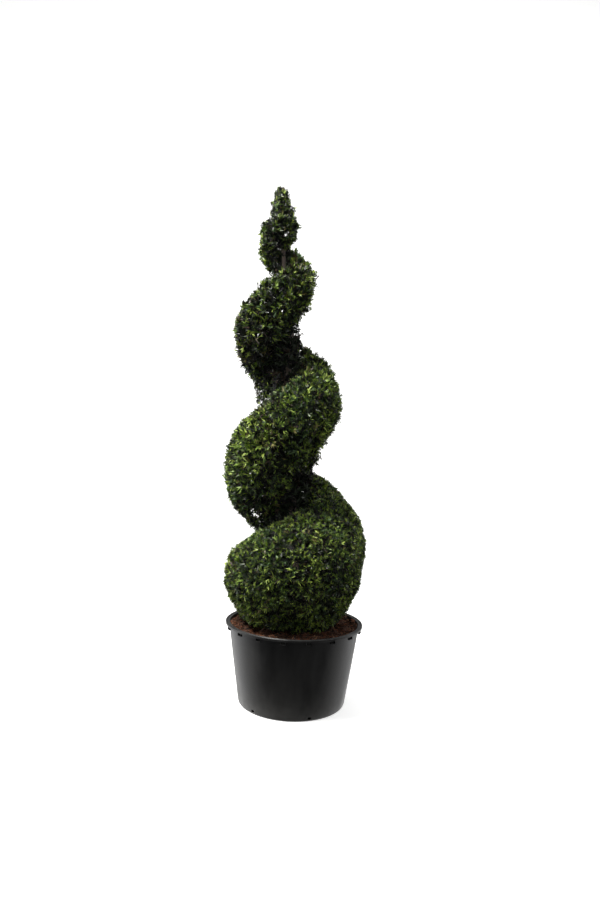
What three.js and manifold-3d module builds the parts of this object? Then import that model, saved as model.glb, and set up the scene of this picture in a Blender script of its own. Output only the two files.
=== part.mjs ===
// A clipped evergreen spiral in a round nursery container, in millimetres with +Z up.
// The origin is the centre of the container's flat underside. X runs to the right and Y to the back,
// seen from the front. The foliage is one ribbon that climbs the trunk in a right-handed spiral.
import * as THREE from 'three';
import { mergeVertices } from 'three/addons/utils/BufferGeometryUtils.js';
import Module from 'manifold-3d';

const wasm = await Module();
wasm.setup();

// ---------- driving dimensions ----------
const GAP = 0.3;                    // between touching nodes
const SHORTEST_EDGE = 0.2;          // of a fused mass

const POT = {
  height: 534, rimRadius: 471, wallTopRadius: 446, wallTopHeight: 522, baseRadius: 364,
  cornerRadius: 12, wall: 5, floor: 6, innerDrop: 8, innerLift: 2, floorSpread: 4, sides: 36,
};
const RIM = { lipWidth: 6, lipDrop: 14, crown: 6, grooveDepth: 5, bevel: 3, innerRadius: 441 };
const LUG = { count: 18, firstAngle: -98, width: 34, depth: 14, drop: 22, sunk: 2, outLap: 3 };
const DRAIN = { count: 6, firstAngle: -131, width: 34, height: 13, depth: 60, level: 6 };
const SOIL = { top: 500, sideGap: 0.5 };

const TREE = { top: 3602, leanFootX: 20, leanTopX: -220 };
const TRUNK = { radius: 45, taper: 0.7, tipRadius: 1.6, flare: 26, flareHeight: 75, buttresses: 5,
  buttressDepth: 0.32, buttressTurn: 1, sway: 4, swayPitch: 900, sides: 10, rings: 22, ringSpread: 1.35,
  toolDepth: 20 };

// The ribbon at each half turn, from the first station on the right: the height of its middle, its
// reach from the trunk's line, and half its thickness. Stations lie right, left, right and so on.
const RIBBON = [
  [690, 380, 145], [820, 495, 355], [1100, 499, 440], [1550, 470, 440], [2120, 371, 344],
  [2522, 372, 322], [2930, 207, 230], [3185, 176, 200], [3310, 114, 130], [3400, 60, 60],
];
const FIRST_STATION = -0.75;        // turns; whole turns face the front
const STATIONS_PER_TURN = 2;
const SECTION = { roundness: 0.84, neck: 0.22, droop: 0.048, hollow: 0.2 };
const FOOT = { reach: 315, rightShift: -30, backShift: 55 };   // where the lowest masses meet the soil
const BALL_TOP_TURN = 0.5;          // up to here the ribbon is filled down to the soil
const LEAF_DEPTH = { least: 8, perReach: 0.045 };   // how far the sprays stand out of the core
const CORE_LIFT = 14;               // of the lowest cores above the soil

const MASSES = { count: 12, firstTurn: -0.5, turns: 1 / 3, arcSteps: 6, profileSides: 14, endGap: 1.5,
  coreGap: 4, seed: 3000 };
const SPRAY = { least: 42, perReach: 0.19, spacing: 1.22, width: 0.86, thickness: 0.05, sunk: 0.3,
  jitter: 0.4, lift: 0.9, slant: 0.6, roll: 0.8, tries: [1, 0.9, 0.8, 0.7, 0.6], standOut: 1.15,
  reachSlack: 8, edgeGap: 2.5 };
const BOUGH = { share: 0.5, rise: 0.55, clearance: 3, rootRadius: 0.24, collar: 1.25, tipShare: 0.6,
  least: 4, sides: 7 };
const STEM = { reach: 0.5, tipShare: 0.55, fork: 0.3, twigs: 4, twigReach: 0.45, twigShare: 0.42,
  twigTipShare: 0.5, twigSides: 3, spread: 0.5 };
const LEADER = { low: 3388, coreHigh: 3564, tip: 3614, reach: 62, skirt: 26, skirtHeight: 25, bluntness: 2.4,
  core: 0.55, coreGap: 4, coreCap: 8, sides: 8, rings: 6, sprays: 26, firstSpray: 10, sprayLength: 62,
  lift: 0.8, liftAtTip: 2.2, liftJitter: 0.4, seatShare: 0.5, seed: 77 };

// ---------- small helpers ----------
const TURN = 2 * Math.PI;
const UP = new THREE.Vector3(0, 0, 1);
const GOLDEN_TURN = (3 - Math.sqrt(5)) / 2;
const { clamp, lerp } = THREE.MathUtils;

function seededRandom(seed) {
  let state = seed >>> 0;
  return () => {
    state = (state + 0x6d2b79f5) >>> 0;
    let mixed = Math.imul(state ^ (state >>> 15), state | 1);
    mixed ^= mixed + Math.imul(mixed ^ (mixed >>> 7), mixed | 61);
    return ((mixed ^ (mixed >>> 14)) >>> 0) / 4294967296;
  };
}

// A closed geometry as a solid, turned the right way out.
function toSolid(geometry) {
  const bare = geometry.clone();
  bare.deleteAttribute('normal');
  bare.deleteAttribute('uv');
  const merged = mergeVertices(bare, 1e-3);
  const points = new Float32Array(merged.attributes.position.array);
  const triangles = new Uint32Array(merged.index.array);
  let volume = 0;
  const corner = [0, 1, 2].map(() => new THREE.Vector3());
  for (let i = 0; i < triangles.length; i += 3) {
    corner.forEach((v, k) => v.fromArray(points, 3 * triangles[i + k]));
    volume += corner[0].dot(corner[1].clone().cross(corner[2]));
  }
  if (volume < 0) {
    for (let i = 0; i < triangles.length; i += 3) {
      [triangles[i + 1], triangles[i + 2]] = [triangles[i + 2], triangles[i + 1]];
    }
  }
  return new wasm.Manifold(new wasm.Mesh({ numProp: 3, vertProperties: points, triVerts: triangles }));
}

function toGeometry(solid) {
  const mesh = solid.getMesh();
  const geometry = new THREE.BufferGeometry();
  geometry.setAttribute('position', new THREE.BufferAttribute(new Float32Array(mesh.vertProperties), 3));
  geometry.setIndex(new THREE.BufferAttribute(new Uint32Array(mesh.triVerts), 1));
  geometry.computeVertexNormals();
  return geometry;
}

// Moves every vertex of a geometry by a rule.
function reshape(geometry, rule) {
  const position = geometry.attributes.position;
  const point = new THREE.Vector3();
  for (let i = 0; i < position.count; i += 1) {
    point.fromBufferAttribute(position, i);
    position.setXYZ(i, ...rule(point).toArray());
  }
  return geometry;
}

// A tapering limb from one point to another.
function limb(from, to, rootRadius, tipRadius, sides) {
  const along = to.clone().sub(from);
  const geometry = new THREE.CylinderGeometry(tipRadius, rootRadius, along.length(), sides);
  const axis = new THREE.Vector3(0, 1, 0);
  geometry.applyQuaternion(new THREE.Quaternion().setFromUnitVectors(axis, along.clone().normalize()));
  geometry.translate(...from.clone().add(to).multiplyScalar(0.5).toArray());
  return toSolid(geometry);
}

function material(color, roughness) {
  return new THREE.MeshStandardMaterial({ color, roughness, metalness: 0 });
}

// ---------- the container ----------
const finish = {
  plastic: material(0x1b1c1e, 0.5),
  soil: material(0x5a3322, 0.95),
  bark: material(0x6b4a3a, 0.9),
  foliage: material(0x3f6a26, 0.8),
  youngFoliage: material(0x577f30, 0.8),
};

function cornerArc(radius, centreR, centreZ) {
  return [0, 45, 90].map((deg) => {
    const a = THREE.MathUtils.degToRad(deg - 90);
    return new THREE.Vector2(centreR + radius * Math.cos(a), centreZ + radius * Math.sin(a));
  });
}

// The container's inner outline from under its rim to the edge of its floor.
function innerOutline() {
  const { wallTopRadius, wallTopHeight, baseRadius, cornerRadius, wall, floor } = POT;
  return [
    new THREE.Vector2(wallTopRadius - wall, wallTopHeight - POT.innerDrop),
    new THREE.Vector2(baseRadius - wall, cornerRadius + POT.innerLift),
    new THREE.Vector2(baseRadius - cornerRadius + POT.floorSpread, floor),
  ];
}

function potSolid() {
  const { height, rimRadius, wallTopRadius, wallTopHeight, baseRadius, cornerRadius, floor } = POT;
  const lipInner = rimRadius - RIM.lipWidth;
  const grooveTop = height - RIM.grooveDepth;
  const profile = [
    new THREE.Vector2(0, 0),
    ...cornerArc(cornerRadius, baseRadius - cornerRadius, cornerRadius),
    new THREE.Vector2(wallTopRadius, wallTopHeight),
    new THREE.Vector2(lipInner, wallTopHeight),
    new THREE.Vector2(lipInner, height - RIM.lipDrop),
    new THREE.Vector2(rimRadius, height - RIM.lipDrop),
    new THREE.Vector2(rimRadius, height),
    new THREE.Vector2(rimRadius - RIM.crown, height),
    new THREE.Vector2(rimRadius - RIM.crown - RIM.bevel, grooveTop),
    new THREE.Vector2(RIM.innerRadius + RIM.crown + RIM.bevel, grooveTop),
    new THREE.Vector2(RIM.innerRadius + RIM.crown, height),
    new THREE.Vector2(RIM.innerRadius, height),
    ...innerOutline(),
    new THREE.Vector2(0, floor),
  ];
  let pot = toSolid(new THREE.LatheGeometry(profile, POT.sides).rotateX(Math.PI / 2));

  const lugTall = LUG.drop + LUG.sunk;
  for (let i = 0; i < LUG.count; i += 1) {
    const block = new THREE.BoxGeometry(LUG.depth, LUG.width, lugTall);
    block.translate(lipInner + LUG.outLap - LUG.depth / 2, 0, wallTopHeight + LUG.sunk - lugTall / 2);
    block.rotateZ(THREE.MathUtils.degToRad(LUG.firstAngle) + (i * TURN) / LUG.count);
    pot = pot.add(toSolid(block));
  }
  pot = pot.subtract(soilSpace(0));
  for (let i = 0; i < DRAIN.count; i += 1) {
    const slot = new THREE.BoxGeometry(DRAIN.depth, DRAIN.width, DRAIN.height);
    slot.translate(baseRadius, 0, DRAIN.level + DRAIN.height / 2 + floor);
    slot.rotateZ(THREE.MathUtils.degToRad(DRAIN.firstAngle) + (i * TURN) / DRAIN.count);
    pot = pot.subtract(toSolid(slot));
  }
  return pot;
}

// The space inside the container up to the soil, drawn in from its walls by a margin.
function soilSpace(margin) {
  const [high, low, floorEdge] = innerOutline();
  const rise = (SOIL.top - low.y) / (high.y - low.y);
  const profile = [
    new THREE.Vector2(0, floorEdge.y + margin),
    new THREE.Vector2(floorEdge.x - margin, floorEdge.y + margin),
    new THREE.Vector2(low.x - margin, low.y + margin),
    new THREE.Vector2(lerp(low.x, high.x, rise) - margin, SOIL.top),
    new THREE.Vector2(0, SOIL.top),
  ];
  return toSolid(new THREE.LatheGeometry(profile, POT.sides).rotateX(Math.PI / 2));
}

// ---------- the tree's line and the ribbon ----------
function lineX(z) {
  return THREE.MathUtils.mapLinear(z, SOIL.top, TREE.top, TREE.leanFootX, TREE.leanTopX);
}

// Smooth curve through one column of the ribbon's stations, at a turn.
function station(turn, column) {
  const place = clamp((turn - FIRST_STATION) * STATIONS_PER_TURN, 0, RIBBON.length - 1.001);
  const i = Math.floor(place);
  const u = place - i;
  const at = (k) => RIBBON[clamp(k, 0, RIBBON.length - 1)][column];
  const [p0, p1, p2, p3] = [at(i - 1), at(i), at(i + 1), at(i + 2)];
  return p1 + 0.5 * u * (p2 - p0 + u * (2 * p0 - 5 * p1 + 4 * p2 - p3 + u * (3 * (p1 - p2) + p3 - p0)));
}

function ribbonAt(turn) {
  const [middle, reach, half] = [0, 1, 2].map((column) => station(turn, column));
  return { middle, reach, half };
}

function azimuth(turn) {
  return (turn - 0.25) * TURN;
}

// The height halfway between this pass of the ribbon and the next one above, where they would meet.
function parting(turn) {
  const low = ribbonAt(turn);
  const high = ribbonAt(turn + 1);
  const meet = low.middle + low.half > high.middle - high.half;
  return meet ? low.middle + ((high.middle - low.middle) * low.half) / (low.half + high.half) : Infinity;
}

function bounds(turn, margin) {
  const inBall = turn < BALL_TOP_TURN;
  const below = inBall ? SOIL.top : parting(turn - 1);
  return {
    low: Number.isFinite(below) ? below + margin : -Infinity,
    high: parting(turn) - margin,
  };
}

function footReach(turn) {
  return FOOT.reach + FOOT.rightShift * Math.cos(azimuth(turn)) + FOOT.backShift * Math.sin(azimuth(turn));
}

// A point of the ribbon's outer surface. Side runs from -1 at the inner lower edge, over 0 at the
// furthest reach, to 1 at the inner upper edge. Inset draws the surface in.
function ribbonPoint(turn, side, inset, ball = turn < BALL_TOP_TURN) {
  const { middle, reach, half } = ribbonAt(turn);
  const r = reach - inset;
  const h = half - inset;
  let rho;
  let z;
  if (ball && side < 0) {
    const foot = Math.min(footReach(turn) - inset, r);
    rho = foot + (r - foot) * (1 - side * side);
    z = middle + side * (middle - SOIL.top - CORE_LIFT);
  } else {
    const edge = Math.acos(Math.pow(SECTION.hollow, 1 / SECTION.roundness));
    const angle = side * edge;
    rho = r * Math.pow(Math.cos(angle), SECTION.roundness);
    z = middle + h * Math.sin(angle) * (1 - SECTION.neck * (1 - rho / r) ** 2);
    const { low, high } = bounds(turn, inset > 0 ? MASSES.endGap + MASSES.coreGap : 0);
    z = clamp(z, low, high);
    z -= SECTION.droop * rho;
  }
  return { rho, z };
}

function toSpace(turn, rho, z) {
  const a = azimuth(turn);
  return new THREE.Vector3(lineX(z) + rho * Math.cos(a), rho * Math.sin(a), z);
}

function leafDepth(reach) {
  return LEAF_DEPTH.least + LEAF_DEPTH.perReach * reach;
}

// ---------- the trunk ----------
function trunkRadius(z, angle) {
  const left = clamp((TREE.top - z) / (TREE.top - SOIL.top), 0, 1);
  const flare = TRUNK.flare * Math.exp(-(z - SOIL.top) / TRUNK.flareHeight);
  const lobes = 1 + TRUNK.buttressDepth * Math.cos(TRUNK.buttresses * angle + TRUNK.buttressTurn);
  return TRUNK.tipRadius + (TRUNK.radius - TRUNK.tipRadius) * Math.pow(left, TRUNK.taper) + flare * lobes;
}

// Whether a point of a cylinder of radius 1 is the centre of one of its caps.
function isCapCentre(p) {
  return Math.hypot(p.x, p.z) < 0.5;
}

function trunkSolid(grow, footLevel) {
  const geometry = new THREE.CylinderGeometry(1, 1, 1, TRUNK.sides, TRUNK.rings);
  return toSolid(reshape(geometry, (p) => {
    const share = (p.y + 0.5) ** TRUNK.ringSpread;
    const z = footLevel + (TREE.top + grow - footLevel) * share;
    const angle = Math.atan2(p.z, p.x);
    const radius = isCapCentre(p) ? 0 : trunkRadius(z, angle) + grow;
    const sway = TRUNK.sway * Math.sin((z - SOIL.top) / TRUNK.swayPitch * TURN);
    return new THREE.Vector3(lineX(z) + sway + radius * Math.cos(angle), radius * Math.sin(angle), z);
  }));
}

// ---------- one mass of the ribbon ----------
function massSpan(index) {
  const start = MASSES.firstTurn + index * MASSES.turns;
  return { start, end: start + MASSES.turns, middle: start + MASSES.turns / 2 };
}

function coreSolid(span) {
  const { profileSides, arcSteps, endGap } = MASSES;
  const geometry = new THREE.CylinderGeometry(1, 1, 1, profileSides, arcSteps);
  const inBall = span.middle < BALL_TOP_TURN;
  return toSolid(reshape(geometry, (p) => {
    const share = p.y + 0.5;
    const rough = lerp(span.start, span.end, share);
    const inner = SECTION.hollow * ribbonAt(rough).reach;
    const trim = endGap / inner / TURN;
    const turn = lerp(span.start + trim, span.end - trim, share);
    const { middle, reach } = ribbonAt(turn);
    const inset = leafDepth(reach);
    if (isCapCentre(p)) return toSpace(turn, (inner + reach) / 2, middle);
    const step = Math.round((Math.atan2(p.z, p.x) / TURN) * profileSides + profileSides) % profileSides;
    const side = inBall ? ballSide(step) : (2 * step) / (profileSides - 1) - 1;
    if (side === null) return toSpace(turn, inner, SOIL.top + CORE_LIFT);
    const { rho, z } = ribbonPoint(turn, side, inset, inBall);
    return toSpace(turn, rho, z);
  }));
}

// The lowest masses have a flat foot, so one corner of their section is its inner lower corner.
function ballSide(step) {
  return step === 0 ? null : (2 * (step - 1)) / (MASSES.profileSides - 2) - 1;
}

// Whether a point lies in a mass's own space: between its two ends, between the passes of the
// ribbon above and below, inside the outer reach and clear of the trunk.
function inSpace(span, point) {
  const x = point.x - lineX(point.z);
  const rho = Math.hypot(x, point.y);
  const whole = Math.atan2(point.y, x) / TURN + 0.25;
  const turn = whole + Math.round(span.middle - whole);
  const edge = SPRAY.edgeGap / Math.max(rho, 1) / TURN;
  if (turn < span.start + edge || turn > span.end - edge) return false;
  const { middle, reach, half } = ribbonAt(turn);
  const inBall = span.middle < BALL_TOP_TURN;
  const { low, high } = bounds(turn, SPRAY.edgeGap);
  const raised = point.z + SECTION.droop * rho;
  const floor = inBall ? SOIL.top + SPRAY.edgeGap : low;
  if ((inBall ? point.z : raised) < floor || raised > high) return false;
  if (rho < trunkRadius(point.z, 0) + SPRAY.edgeGap + TRUNK.sway) return false;
  if (inBall && raised < middle) {
    const down = (middle - point.z) / (middle - SOIL.top);
    const foot = Math.min(footReach(turn), reach);
    return rho < foot + (reach - foot) * (1 - down * down) + SPRAY.reachSlack;
  }
  const sine = Math.abs(raised - middle) / (half + SPRAY.reachSlack);
  if (sine > 1) return false;
  return rho < (reach + SPRAY.reachSlack) * Math.pow(1 - sine * sine, SECTION.roundness / 2);
}

// A toothed blade: three teeth round a thicker middle, its root at the origin, pointing along +Y.
function sprayBlade(length) {
  const half = (SPRAY.width * length) / 2;
  const outline = [
    [0, 0], [-1, 0.62], [-0.36, 0.66], [0, 1], [0.36, 0.66], [1, 0.62],
  ].map(([x, y]) => [x * half, y * length]);
  const thick = (SPRAY.thickness * length) / 2;
  const points = outline.flatMap(([x, y]) => [x, y, 0]);
  points.push(0, length * 0.5, thick, 0, length * 0.5, -thick);
  const top = outline.length;
  const index = [];
  outline.forEach((_, i) => {
    const next = (i + 1) % outline.length;
    index.push(i, top, next, next, top + 1, i);
  });
  const geometry = new THREE.BufferGeometry();
  geometry.setAttribute('position', new THREE.Float32BufferAttribute(points, 3));
  geometry.setIndex(index);
  return geometry;
}

// A blade set at a root, along a direction, lying flat against a normal and turned from it by a roll.
function placeSpray(root, direction, normal, roll, length) {
  const across = direction.clone().cross(normal).normalize();
  const frame = new THREE.Matrix4().makeBasis(across, direction, across.clone().cross(direction));
  const geometry = sprayBlade(length).rotateY(roll).applyMatrix4(frame);
  return geometry.translate(root.x, root.y, root.z);
}

function corners(geometry) {
  const { position } = geometry.attributes;
  const corner = (_, i) => new THREE.Vector3().fromBufferAttribute(position, i);
  return Array.from({ length: position.count }, corner);
}

// The length of the ribbon's outer edge across its section, in mm.
function profileLength(turn, inBall) {
  const steps = 20;
  const at = (step) => ribbonPoint(turn, (2 * step) / steps - 1, 0, inBall);
  let length = 0;
  for (let step = 0; step < steps; step += 1) {
    const [a, b] = [at(step), at(step + 1)];
    length += Math.hypot(b.rho - a.rho, b.z - a.z);
  }
  return length;
}

// The sprays of one mass: staggered rows from its foot to its top, evenly spaced along each row.
function massSprays(span, random) {
  const sprays = [];
  const inBall = span.middle < BALL_TOP_TURN;
  const fullLength = SPRAY.least + SPRAY.perReach * ribbonAt(span.middle).reach;
  const spacing = SPRAY.spacing * fullLength;
  const rows = Math.round(profileLength(span.middle, inBall) / spacing);
  for (let row = 0; row < rows; row += 1) {
    const side = ((row + 0.5) / rows) * 2 - 1;
    const around = ribbonPoint(span.middle, side, 0, inBall).rho * TURN * MASSES.turns;
    const columns = Math.max(Math.round(around / spacing), 1);
    for (let column = 0; column < columns; column += 1) {
      const share = (column + 0.5 + SPRAY.jitter * (random() - 0.5)) / columns;
      const turn = lerp(span.start, span.end, share);
      const shifted = side + (SPRAY.jitter * (random() - 0.5) * 2) / rows;
      const spray = spraySeat(span, turn, shifted, fullLength, random);
      if (spray) sprays.push(spray);
    }
  }
  return sprays;
}

// One spray that stands out of the core as far as the outer reach, or null where it would leave
// the mass's space at every size that is tried.
function spraySeat(span, turn, side, fullLength, random) {
  const inBall = span.middle < BALL_TOP_TURN;
  const inset = leafDepth(ribbonAt(turn).reach);
  const at = (t, s) => {
    const p = ribbonPoint(t, clamp(s, -1, 1), inset, inBall);
    return toSpace(t, p.rho, p.z);
  };
  const [turnStep, sideStep] = [0.01, 0.05];
  const seat = at(turn, side);
  const alongTurn = at(turn + turnStep, side).sub(at(turn - turnStep, side));
  const alongSide = at(turn, side + sideStep).sub(at(turn, side - sideStep));
  const normal = alongTurn.cross(alongSide).normalize();
  for (const share of SPRAY.tries) {
    const slant = new THREE.Vector3(random() - 0.5, random() - 0.5, random() - 0.5);
    const aim = normal.clone().addScaledVector(UP, SPRAY.lift).addScaledVector(slant, SPRAY.slant);
    const direction = aim.normalize();
    const roll = SPRAY.roll * (random() - 0.5) * 2;
    const length = fullLength * share;
    const out = Math.min((1 - SPRAY.sunk) * length, (SPRAY.standOut * inset) / direction.dot(normal));
    const root = seat.clone().addScaledVector(direction, out - length);
    const blade = placeSpray(root, direction, normal, roll, length);
    if (corners(blade).every((p) => inSpace(span, p))) return blade;
  }
  return null;
}

// ---------- boughs and stems ----------
function boughSeat(index) {
  const span = massSpan(index);
  const turn = span.middle;
  const { middle, reach } = ribbonAt(turn);
  const inner = SECTION.hollow * reach;
  const level = Math.max(middle, SOIL.top + BOUGH.clearance * inner);
  const rise = BOUGH.rise * inner;
  const start = toSpace(turn, 0, level - rise);
  const end = toSpace(turn, inner, level);
  const rootRadius = Math.max(BOUGH.rootRadius * trunkRadius(level, 0), BOUGH.least);
  const open = trunkRadius(level, 0) / inner;
  const tipShare = open + (1 - open) * BOUGH.share;
  return { start, end, tip: start.clone().lerp(end, tipShare), rootRadius, inner };
}

function boughSolid(index, trunkGrown) {
  const { start, tip, rootRadius } = boughSeat(index);
  const cone = limb(start, tip, rootRadius * BOUGH.collar, rootRadius * BOUGH.tipShare, BOUGH.sides);
  return cone.subtract(trunkGrown);
}

// The stem of a mass goes on from its bough's tip into the core, and forks into a few twigs.
function stemSolids(index, random) {
  const { end, tip, rootRadius, inner } = boughSeat(index);
  const along = end.clone().sub(tip).normalize();
  const foot = tip.clone().addScaledVector(along, GAP);
  const far = end.clone().addScaledVector(along, inner * STEM.reach);
  const stemRadius = rootRadius * BOUGH.tipShare;
  const parts = [limb(foot, far, stemRadius, stemRadius * STEM.tipShare, BOUGH.sides)];

  const across = along.clone().cross(UP).normalize();
  const over = across.clone().cross(along).normalize();
  const fork = foot.clone().addScaledVector(along, end.distanceTo(tip) * STEM.fork);
  const reach = end.distanceTo(tip) + inner * STEM.twigReach;
  const twigRadius = stemRadius * STEM.twigShare;
  for (let i = 0; i < STEM.twigs; i += 1) {
    const a = (i / STEM.twigs) * TURN + random();
    const aim = along.clone()
      .addScaledVector(across, STEM.spread * Math.cos(a))
      .addScaledVector(over, STEM.spread * Math.sin(a))
      .normalize();
    const twigEnd = fork.clone().addScaledVector(aim, reach);
    parts.push(limb(fork, twigEnd, twigRadius, twigRadius * STEM.twigTipShare, STEM.twigSides));
  }
  return parts;
}

function massSolid(index) {
  const span = massSpan(index);
  const random = seededRandom(MASSES.seed + index);
  const parts = [coreSolid(span), ...stemSolids(index, random)];
  massSprays(span, random).forEach((blade) => parts.push(toSolid(blade)));
  return largestBody(wasm.Manifold.union(parts));
}

// The main body of a union, without loose scraps and without edges too short to keep.
function largestBody(solid) {
  return solid.decompose().sort((a, b) => b.volume() - a.volume())[0].simplify(SHORTEST_EDGE);
}

// ---------- the leader at the top ----------
// The spindle's reach from the trunk's line: widest at its foot, drawn in to a blunt point.
function leaderReach(z) {
  const share = clamp((z - LEADER.low) / (LEADER.tip - LEADER.low), 0, 1);
  const skirt = LEADER.skirt * Math.exp(-(z - LEADER.low) / LEADER.skirtHeight);
  return LEADER.reach * Math.sqrt(1 - share ** LEADER.bluntness) + skirt;
}

function leaderCore() {
  const foot = LEADER.low + LEADER.coreGap;
  const profile = [new THREE.Vector2(0, foot)];
  for (let i = 0; i < LEADER.rings; i += 1) {
    const z = lerp(foot, LEADER.coreHigh, i / (LEADER.rings - 1));
    profile.push(new THREE.Vector2(leaderReach(z) * LEADER.core, z));
  }
  profile.push(new THREE.Vector2(0, LEADER.coreHigh + LEADER.coreCap));
  const spindle = new THREE.LatheGeometry(profile, LEADER.sides).rotateX(Math.PI / 2);
  return reshape(spindle, (p) => new THREE.Vector3(p.x + lineX(p.z), p.y, p.z));
}

function inLeader(point) {
  const rho = Math.hypot(point.x - lineX(point.z), point.y);
  return point.z > LEADER.low + SPRAY.edgeGap && rho < leaderReach(point.z) + SPRAY.reachSlack;
}

function leaderSolid(trunkGrown) {
  const random = seededRandom(LEADER.seed);
  const parts = [toSolid(leaderCore())];
  for (let i = 0; i < LEADER.sprays; i += 1) {
    const share = (i + 0.5) / LEADER.sprays;
    const z = lerp(LEADER.low + LEADER.firstSpray, LEADER.coreHigh, share);
    const a = i * TURN * GOLDEN_TURN;
    const outward = new THREE.Vector3(Math.cos(a), Math.sin(a), 0);
    const lift = LEADER.lift + LEADER.liftAtTip * share * share + LEADER.liftJitter * random();
    const direction = outward.clone().addScaledVector(UP, lift).normalize();
    const seat = outward.clone().multiplyScalar(leaderReach(z) * LEADER.core * LEADER.seatShare);
    seat.add(new THREE.Vector3(lineX(z), 0, z));
    const blade = SPRAY.tries
      .map((size) => placeSpray(seat, direction, outward, random() - 0.5, LEADER.sprayLength * size))
      .find((tried) => corners(tried).every(inLeader));
    if (blade) parts.push(toSolid(blade));
  }
  return largestBody(wasm.Manifold.union(parts).subtract(trunkGrown));
}

// ---------- the assembly ----------
const plant = new THREE.Group();

function addNode(name, solid, look) {
  const mesh = new THREE.Mesh(toGeometry(solid), look);
  mesh.name = name;
  plant.add(mesh);
}

const trunkGrown = trunkSolid(GAP, SOIL.top - TRUNK.toolDepth);
addNode('pot', potSolid(), finish.plastic);
addNode('soil', soilSpace(SOIL.sideGap), finish.soil);
addNode('trunk', trunkSolid(0, SOIL.top + GAP), finish.bark);
for (let i = 0; i < MASSES.count; i += 1) {
  const label = String(i + 1).padStart(2, '0');
  addNode(`bough_${label}`, boughSolid(i, trunkGrown), finish.bark);
  addNode(`mass_${label}`, massSolid(i), i % 2 ? finish.foliage : finish.youngFoliage);
}
addNode('leader', leaderSolid(trunkGrown), finish.foliage);

export default plant;
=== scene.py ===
# %% [markdown]
# # A clipped evergreen spiral in a nursery container
#
# The CAD model gives the real sizes: a round container, its soil, a leaning trunk, twelve short
# boughs and a ribbon of foliage cut into masses. This lesson dresses that frame. Every new piece is
# a surface or a set of small leaves worked out with numpy as whole arrays, so there is no loop over
# vertices. The frame is loaded first and is never moved.

import math

import bpy
import numpy as np
from mathutils import Matrix, Vector


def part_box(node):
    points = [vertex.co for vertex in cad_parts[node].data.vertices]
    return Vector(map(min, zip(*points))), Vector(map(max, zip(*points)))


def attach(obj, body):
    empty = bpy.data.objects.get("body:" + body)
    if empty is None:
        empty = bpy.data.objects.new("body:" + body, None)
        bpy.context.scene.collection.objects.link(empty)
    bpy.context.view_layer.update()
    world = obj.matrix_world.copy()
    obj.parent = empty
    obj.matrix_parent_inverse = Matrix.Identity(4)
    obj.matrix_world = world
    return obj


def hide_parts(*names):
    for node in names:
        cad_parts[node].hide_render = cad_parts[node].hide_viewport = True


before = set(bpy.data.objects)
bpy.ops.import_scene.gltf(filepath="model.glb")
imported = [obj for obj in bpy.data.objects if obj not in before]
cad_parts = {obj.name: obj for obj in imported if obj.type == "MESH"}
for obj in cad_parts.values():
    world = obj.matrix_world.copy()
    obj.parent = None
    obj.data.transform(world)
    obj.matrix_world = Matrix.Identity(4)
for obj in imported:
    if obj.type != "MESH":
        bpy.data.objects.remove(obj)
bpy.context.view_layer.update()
SCENE = bpy.context.scene
TURN = 2 * np.pi
UP = np.array([0.0, 0.0, 1.0])


def node_box(name):
    """Lowest and highest corner of a CAD node as arrays, in metres."""
    low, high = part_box(name)
    return np.array(low), np.array(high)


# %% [markdown]
# ## Camera, floor and light
#
# The plant is seen from the height of a standing person's eyes, with a wide lens that is tipped up
# slightly and rolled by two degrees. The floor and the wall behind are one pale sheet
# that bends up in a wide curve, so no horizon shows. The light is a big soft sky from the upper
# left, with a white panel at each side. The panels are what the sides of the black container
# mirror, and the dark room in front keeps its middle nearly black.

# %% The camera
CAMERA_PLACE = (-0.0085, -3.87, 1.54)
CAMERA_PITCH = 2.65          # degrees up
CAMERA_ROLL = 2.38           # degrees about the line of sight
LENS, SENSOR = 22.0, 36.0    # mm, the sensor along the picture's long side

camera_data = bpy.data.cameras.new("camera")
camera_data.lens = LENS
camera_data.sensor_width = SENSOR
camera_data.clip_end = 100.0
camera = bpy.data.objects.new("camera", camera_data)
SCENE.collection.objects.link(camera)
camera.matrix_world = (
    Matrix.Translation(CAMERA_PLACE)
    @ Matrix.Rotation(math.radians(90 + CAMERA_PITCH), 4, "X")
    @ Matrix.Rotation(math.radians(CAMERA_ROLL), 4, "Z")
)
SCENE.camera = camera
print("camera at", CAMERA_PLACE)


# %% Meshes from arrays
def build_mesh(name, points, quads=None, triangles=None, tints=None, smooth=True):
    """A mesh object from whole arrays: points (n, 3), quads (q, 4), triangles (t, 3).

    tints gives each face the number of its material. Loops are the quads' corners followed by the
    triangles' corners, and each face starts where the one before it ends.
    """
    quads = np.zeros((0, 4), np.int32) if quads is None else np.asarray(quads, np.int32)
    triangles = np.zeros((0, 3), np.int32) if triangles is None else np.asarray(triangles, np.int32)
    corners = np.concatenate([quads.ravel(), triangles.ravel()])
    sizes = np.concatenate([np.full(len(quads), 4), np.full(len(triangles), 3)])
    mesh = bpy.data.meshes.new(name)
    mesh.vertices.add(len(points))
    mesh.vertices.foreach_set("co", np.asarray(points, np.float32).ravel())
    mesh.loops.add(len(corners))
    mesh.loops.foreach_set("vertex_index", corners.astype(np.int32))
    mesh.polygons.add(len(sizes))
    mesh.polygons.foreach_set("loop_start", (np.cumsum(sizes) - sizes).astype(np.int32))
    mesh.polygons.foreach_set("use_smooth", np.full(len(sizes), smooth))
    if tints is not None:
        mesh.polygons.foreach_set("material_index", np.asarray(tints, np.int32))
    mesh.update(calc_edges=True)
    piece = bpy.data.objects.new(name, mesh)
    SCENE.collection.objects.link(piece)
    return piece


def around(count):
    """Angles at even steps round a circle."""
    return np.arange(count) / count * TURN


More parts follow.
